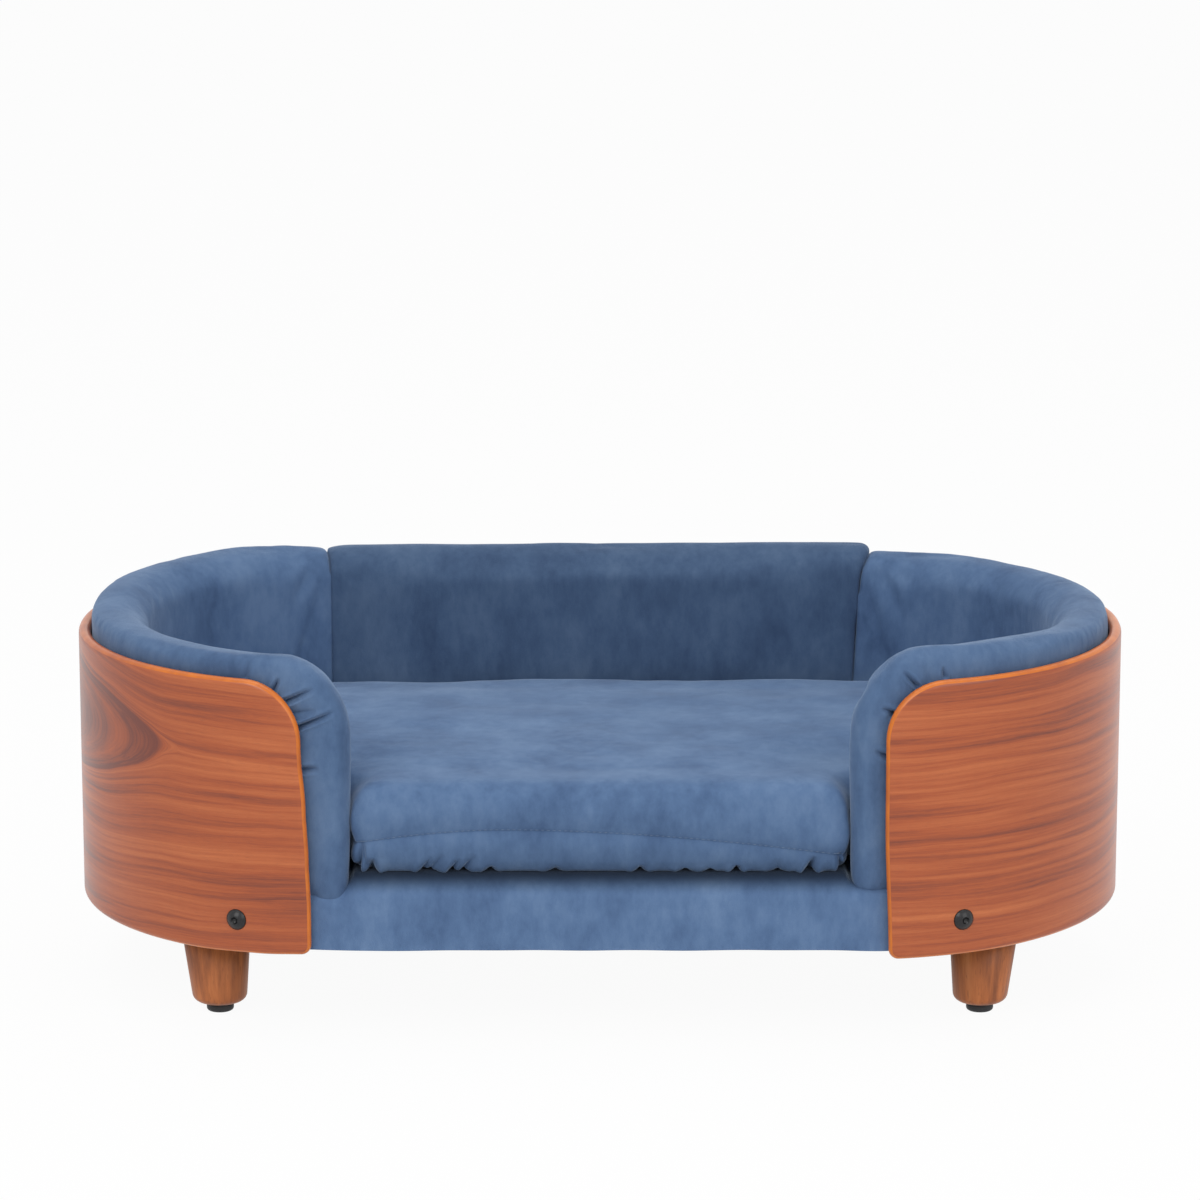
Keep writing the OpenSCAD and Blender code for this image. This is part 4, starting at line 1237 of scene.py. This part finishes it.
    def stitches(self, plan, sizes, piece):
        """Short stitches of thread just above the seam, laid on the velvet"""
        tree = BVHTree.FromPolygons([v.co for v in piece.data.vertices], [p.vertices for p in piece.data.polygons])
        outline = self.outline(plan, sizes, sizes.slack)
        places = self.walk_round(outline, sizes.stitch_step)
        outline.free()
        bm = bmesh.new()
        for point, out in places:
            height = self.seam_height(sizes, Vector((*point, 0))) + ABOVE_SEAM
            away = Vector((*out, 0))
            hit, normal, index, far = tree.ray_cast(Vector((*point, height)) + away * LOOK_FROM, -away)
            if hit is None or far > 1.5 * LOOK_FROM:
                continue
            along = Vector((-out.y, out.x, 0))
            turn = Matrix((along, normal.cross(along).normalized(), normal)).transposed().to_4x4()
            long = Matrix.Diagonal((sizes.stitch / 2 / sizes.thread, 1, 1, 1))
            bmesh.ops.create_uvsphere(bm, u_segments=6, v_segments=5, radius=sizes.thread,
                                      matrix=Matrix.Translation(hit) @ turn @ long)
        face_out(bm)
        make_piece("seat_cushion_stitches", bm, (seam_thread(),), "seat_cushion")

    def wrap(self, plan, sizes):
        """Filling inside the cover, a size smaller so that no fold of the velvet reaches it"""
        low = SEAT_LOW.z + 0.4 * sizes.wrap_inset
        high = self.seam + sizes.wall + sizes.crown - sizes.wrap_inset
        bm = self.outline(plan, sizes, sizes.slack + sizes.wrap_inset)
        bmesh.ops.translate(bm, verts=bm.verts[:], vec=(0, 0, low - SEAT_LOW.z))
        extrude_by(bm, bm.faces[:], (0, 0, high - low))
        bevel_rim(bm, 2, high, sizes.wrap_inset, 6)
        bevel_rim(bm, 2, low, sizes.wrap_inset / 2, 4)
        close_up(bm)
        make_piece("seat_cushion_fibre_wrap", bm, (fibre_filling(),), "seat_cushion",
                   ("seat_cushion_filling",))


LINING = 0.0006  # Thickness of the lining


class PETSOFA_OT_base_cover(bpy.types.Operator):
    """Build the velvet over the base and the lining under it"""

    bl_idname = "pet_sofa.base_cover"
    bl_label = "Base Cover"

    def execute(self, context):
        sizes = context.scene.pet_sofa.base
        plan = bed_plan()
        spare = 2 * sizes.spacing
        bm = self.oval(plan, sizes.inset, BASE_LOW.z - spare)
        extrude_by(bm, bm.faces[:], (0, 0, sizes.shoulder - BASE_LOW.z + spare))
        face_out(bm)
        top = [face for face in bm.faces if face.normal.z > 0.9]
        bmesh.ops.inset_region(bm, faces=top, thickness=sizes.ledge, use_even_offset=True)
        for x in (-sizes.tongue, sizes.tongue):
            top = [face for face in bm.faces if face.normal.z > 0.9]
            parts = dict.fromkeys(part for face in top for part in (*face.verts, *face.edges, face))
            bmesh.ops.bisect_plane(bm, geom=list(parts), dist=TINY, plane_co=(x, 0, 0), plane_no=(1, 0, 0))
        raised = []
        for face in bm.faces:
            middle = face.calc_center_median()
            if face.normal.z > 0.9 and (middle.y < 0 and abs(middle.x) < sizes.tongue or
                                        plan.unroll(middle.x, middle.y)[1] > sizes.inset + sizes.ledge):
                raised.append(face)
        extrude_by(bm, raised, (0, 0, BASE_HIGH.z - sizes.shoulder), hollow=True)
        face_out(bm)
        front = -plan.half_depth + sizes.inset
        bevel_rim(bm, 2, BASE_HIGH.z, sizes.front_round, 6,
                  lambda e: all(abs(v.co.y - front) < WELD for v in e.verts))
        close_up(bm)
        # The base takes the copy of the velvet with painted light and the painted shadow under the cushion
        piece = make_piece("base_velvet", bm, (blue_velvet_nap_up(),), stands_for=("base_cover",))
        remesh(piece, sizes.spacing)
        self.sink_front(piece, sizes, front)
        self.open_below(piece, sizes.hang)
        carve(piece, lambda co, normal: fade(0.2, 0.6, normal.z) *
              (ripple(co + Vector((0.0, 0.0, 0.9)), 0.06, 0.0007) - 0.0005))
        walls = piece.modifiers.new("Solidify", "SOLIDIFY")
        walls.thickness = sizes.fabric
        walls.offset = -1.0
        settle(piece)
        piece.data.shade_smooth()
        self.lining(plan, sizes)
        self.foam_pad(plan, sizes, front)
        deck = thicken(self.oval(plan, sizes.inset + sizes.deck_inset, DECK_LOW.z), DECK_HIGH.z - DECK_LOW.z)
        make_piece("base_plywood_deck", deck, (plywood(),), stands_for=("base_deck",))
        return {"FINISHED"}

    def lining(self, plan, sizes):
        """Thin lining that is held stretched under the frame"""
        inset = sizes.inset + sizes.lining_inset
        bm = thicken(self.oval(plan, inset, BASE_LOW.z), LINING)
        sheet = make_piece("underside_lining", bm, (black_lining(),), stands_for=("dust_cover",))

    def foam_pad(self, plan, sizes, front):
        """Thin foam under the velvet, with a tongue that comes forward between the bolsters"""
        inset = sizes.inset + sizes.pad_inset
        tongue = sizes.tongue - 0.008
        low, high = DECK_HIGH.z + 0.0001, BASE_HIGH.z - 0.003
        bm = tongued_face((plan.half_width - inset, plan.half_depth - inset, plan.radius - inset),
                          (tongue, front + sizes.deck_inset, 0.012, 0.012), low)
        extrude_by(bm, bm.faces[:], (0, 0, high - low))
        bevel_rim(bm, 2, high, 0.005, 4)
        close_up(bm)
        make_piece("base_foam_pad", bm, (foam(),), stands_for=("deck_foam",))

    def sink_front(self, piece, sizes, front):
        """Sinks the padded edge and the ledges towards the front"""
        reach = 6 * sizes.front_round
        for v in piece.data.vertices:
            below = BASE_HIGH.z - v.co.z
            if v.co.y < front + sizes.front_reach and below < reach:
                near = 1 - max(0.0, v.co.y - front) / sizes.front_reach
                on_ledge = smooth_step(sizes.tongue - 0.002, sizes.tongue + 0.006, abs(v.co.x))
                ledge_sink = sizes.right_sink if v.co.x > 0 else sizes.left_sink
                sink = sizes.front_sink + (ledge_sink - sizes.front_sink) * on_ledge
                v.co.z -= sink * (1 - math.sqrt(max(0.0, 1 - near * near))) * (1 - below / reach)

    def open_below(self, piece, hang):
        """Cuts the cover open at its lower edge, which hangs a little unevenly"""
        bm = bmesh.new()
        bm.from_mesh(piece.data)
        slice_at(bm, (0, 0, BASE_LOW.z - hang), (0, 0, -1), True)
        for v in bm.verts:
            v.co.z += ripple(v.co, 0.07, 0.0014) * fade(0.0, 0.01, v.co.z - BASE_LOW.z + hang)
        face_out(bm)
        bm.to_mesh(piece.data)
        bm.free()

    def oval(self, plan, inset, level):
        bm = bmesh.new()
        bmesh.ops.create_grid(bm, x_segments=1, y_segments=1, size=0.5)
        x, y = plan.half_width - inset, plan.half_depth - inset
        bmesh.ops.scale(bm, vec=(2 * x, 2 * y, 1), verts=bm.verts[:])
        bmesh.ops.translate(bm, verts=bm.verts[:], vec=(0, 0, level))
        for place in ((x, y), (-x, y), (-x, -y), (x, -y)):
            bevel_corner(bm, Vector((*place, level)), plan.radius - inset, 24)
        return bm


class PETSOFA_OT_legs(bpy.types.Operator):
    """Turn the four legs and their glides"""

    bl_idname = "pet_sofa.legs"
    bl_label = "Legs and Glides"

    def execute(self, context):
        sizes = context.scene.pet_sofa.legs
        for place in ("front_left", "front_right", "rear_left", "rear_right"):
            low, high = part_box(f"{place}_leg")
            middle = (low + high) / 2
            outline = ((0.0, high.z), ((high.x - low.x) / 2, high.z), (sizes.foot_radius, low.z), (0.0, low.z))
            bm = turned(outline, {2: (sizes.foot_round, 6)}, sizes.steps)
            inwards = -sizes.lean if middle.x > 0 else sizes.lean
            for v in bm.verts:
                v.co.x += middle.x + inwards * (high.z - v.co.z) / (high.z - low.z)
                v.co.y += middle.y
            make_piece(f"{place}_turned_leg", bm, (leg_wood(),), stands_for=(f"{place}_leg",))
            low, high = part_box(f"{place}_glide")
            outline = ((0.0, high.z), (sizes.glide_radius, high.z), (sizes.glide_radius, low.z), (0.0, low.z))
            bm = turned(outline, {2: (sizes.glide_round, 4)}, sizes.steps)
            bmesh.ops.translate(bm, verts=bm.verts[:], vec=(middle.x + inwards, middle.y, 0))
            make_piece(f"{place}_round_glide", bm, (black_glide(),), stands_for=(f"{place}_glide",))
        return {"FINISHED"}


class PETSOFA_OT_wing_bolts(bpy.types.Operator):
    """Turn the four domed bolts of the wings"""

    bl_idname = "pet_sofa.wing_bolts"
    bl_label = "Wing Bolts"

    def execute(self, context):
        sizes = context.scene.pet_sofa.bolts
        plan = bed_plan()
        run = plan.front + sizes.angle * plan.radius
        bolt = self.bolt(sizes, context.scene.pet_sofa.legs.steps)
        bm = bmesh.new()
        for at in (run, plan.half_run - run, plan.half_run + run, 2 * plan.half_run - run):
            before = set(bm.verts)
            bm.from_mesh(bolt)
            place = Vector((*plan.place(at, 0.0), sizes.level))
            out = place - Vector((*plan.place(at, sizes.shank), sizes.level))
            stand = Matrix.Translation(place) @ out.to_track_quat("Z", "Y").to_matrix().to_4x4()
            bmesh.ops.transform(bm, matrix=stand, verts=[v for v in bm.verts if v not in before])
        bpy.data.meshes.remove(bolt)
        make_piece("domed_wing_bolts", bm, (black_steel(),), stands_for=("wing_bolts",))
        return {"FINISHED"}

    def bolt(self, sizes, steps):
        """Mesh of one upright bolt with a hexagonal socket in its domed head"""
        dome = (sizes.head_radius ** 2 + sizes.head_height ** 2) / (2 * sizes.head_height)
        widest = math.asin(sizes.head_radius / dome)
        rise = [(dome * math.sin(a), sizes.head_height - dome * (1 - math.cos(a)))
                for a in (widest * i / 12 for i in range(12, 0, -1))]
        outline = [(0.0, -sizes.shank), (sizes.shank_radius, -sizes.shank), (sizes.shank_radius, 0.0), *rise,
                   (0.0, sizes.head_height)]
        bolt = make_object("bolt", turned(outline, {}, steps))
        bm = bmesh.new()
        bmesh.ops.create_cone(bm, cap_ends=True, segments=6, radius1=sizes.socket, radius2=sizes.socket,
                              depth=2 * sizes.socket_depth,
                              matrix=Matrix.Translation((0, 0, sizes.head_height)))
        cutter = make_object("socket", bm)
        cut = bolt.modifiers.new("Socket", "BOOLEAN")
        cut.operation = "DIFFERENCE"
        cut.object = cutter
        settle(bolt)
        result, socket = bolt.data, cutter.data
        for piece in (bolt, cutter):
            bpy.data.objects.remove(piece)
        bpy.data.meshes.remove(socket)
        return result


class PETSOFA_OT_cad_pieces(bpy.types.Operator):
    """Give every piece that keeps its CAD shape the finish of its slot"""

    bl_idname = "pet_sofa.cad_pieces"
    bl_label = "Frame, Filling and Fasteners"

    def execute(self, context):
        for part in frame["record"]["subparts"]:
            piece = frame["nodes"][part["node"]]
            piece.data.materials.clear()
            piece.data.materials.append(SLOT_FINISH[part["material_slot"]]())
        return {"FINISHED"}


# Lamps: name, place, size and power, and the place that they are turned to
LAMPS = (("key_lamp", (-1.5, -2.6, 2.7), 2.2, 46.0), ("fill_lamp", (2.1, -2.3, 1.9), 2.4, 30.0),
         ("top_lamp", (0.0, 0.4, 3.0), 2.6, 26.0))
LIT_PLACE = Vector((0, 0, 0.15))


class PETSOFA_OT_stage(bpy.types.Operator):
    """Make the camera, the lamps, the floor and the pale surround"""

    bl_idname = "pet_sofa.stage"
    bl_label = "Stage"

    def execute(self, context):
        sizes = context.scene.pet_sofa.stage
        scene = context.scene
        scene.view_settings.view_transform = "Standard"
        camera = link(bpy.data.objects.new("camera", bpy.data.cameras.new("camera")))
        camera.data.sensor_width = 36.0
        camera.data.lens = sizes.lens
        camera.data.clip_end = 60.0
        camera.location = (0.0, -sizes.camera_distance, sizes.camera_height)
        camera.rotation_euler = (math.pi / 2 - sizes.camera_pitch, 0.0, 0.0)
        scene.camera = camera
        for name, place, size, power in LAMPS:
            lamp = link(bpy.data.objects.new(name, bpy.data.lights.new(name, "AREA")))
            lamp.data.shape = "SQUARE"
            lamp.data.size = size
            lamp.data.energy = power
            lamp.location = place
            lamp.rotation_euler = (LIT_PLACE - Vector(place)).to_track_quat("-Z", "Y").to_euler()
        self.surround(scene, sizes.surround)
        self.floor(sizes.floor_glow)
        return {"FINISHED"}

    def surround(self, scene, strength):
        world = bpy.data.worlds.new("pale_surround")
        n = Nodes(world)
        seen = n.rays("Is Camera Ray").at_least(n.rays("Is Glossy Ray").at_least(n.rays("Is Transmission Ray")))
        n.join(n.node("ShaderNodeMapRange", None, {"Value": seen, "To Min": strength}), "Background", "Strength")
        n.tree.nodes["Background"].inputs["Color"].default_value = (1.0, 1.0, 1.0, 1.0)
        scene.world = world

    def floor(self, glow):
        bm = bmesh.new()
        bmesh.ops.create_grid(bm, x_segments=1, y_segments=1, size=20.0)
        floor = make_object("floor", bm)
        material = bpy.data.materials.new("pale_floor")
        n = Nodes(material)
        n.tree.nodes.remove(n.tree.nodes["Principled BSDF"])
        plain = n.node("ShaderNodeBsdfDiffuse", None, {"Color": (0.82, 0.82, 0.82)})
        bright = n.node("ShaderNodeEmission")
        seen = n.rays("Is Camera Ray").at_least(n.rays("Is Glossy Ray"))
        n.join(n.node("ShaderNodeMixShader", None, {0: seen * glow, 1: plain, 2: bright}), "Material Output", "Surface")
        floor.data.materials.append(material)


class PetSofaSettings(bpy.types.PropertyGroup):
    """All sizes and colours of the pet sofa"""

    shell: PointerProperty(type=ShellSizes)
    bolsters: PointerProperty(type=BolsterSizes)
    seat: PointerProperty(type=SeatSizes)
    base: PointerProperty(type=BaseSizes)
    legs: PointerProperty(type=LegSizes)
    bolts: PointerProperty(type=BoltSizes)
    finishes: PointerProperty(type=Finishes)
    stage: PointerProperty(type=StageSizes)


OPERATORS = (PETSOFA_OT_wood_panels, PETSOFA_OT_bolsters, PETSOFA_OT_seat_cushion, PETSOFA_OT_base_cover,
             PETSOFA_OT_legs, PETSOFA_OT_wing_bolts, PETSOFA_OT_cad_pieces, PETSOFA_OT_stage)


class PETSOFA_PT_panel(bpy.types.Panel):
    """Lists the steps that build the pet sofa"""

    bl_label = "Pet Sofa"
    bl_idname = "PETSOFA_PT_panel"
    bl_space_type = "VIEW_3D"
    bl_region_type = "UI"
    bl_category = "Pet Sofa"

    def draw(self, context):
        for operator in OPERATORS:
            self.layout.operator(operator.bl_idname)
        for group in ("shell", "bolsters", "seat", "base", "legs", "bolts", "finishes", "stage"):
            settings = getattr(context.scene.pet_sofa, group)
            box = self.layout.box()
            box.label(text=group.title())
            for name in settings.__annotations__:
                box.prop(settings, name)


CLASSES = (ShellSizes, BolsterSizes, SeatSizes, BaseSizes, LegSizes, BoltSizes, Finishes, StageSizes, PetSofaSettings,
           *OPERATORS, PETSOFA_PT_panel)


def register():
    for cls in CLASSES:
        bpy.utils.register_class(cls)
    bpy.types.Scene.pet_sofa = PointerProperty(type=PetSofaSettings)


def unregister():
    del bpy.types.Scene.pet_sofa
    for cls in reversed(CLASSES):
        bpy.utils.unregister_class(cls)


def main():
    register()
    for operator in OPERATORS:
        getattr(bpy.ops.pet_sofa, operator.bl_idname.split(".")[1])()


if __name__ == "__main__":
    main()
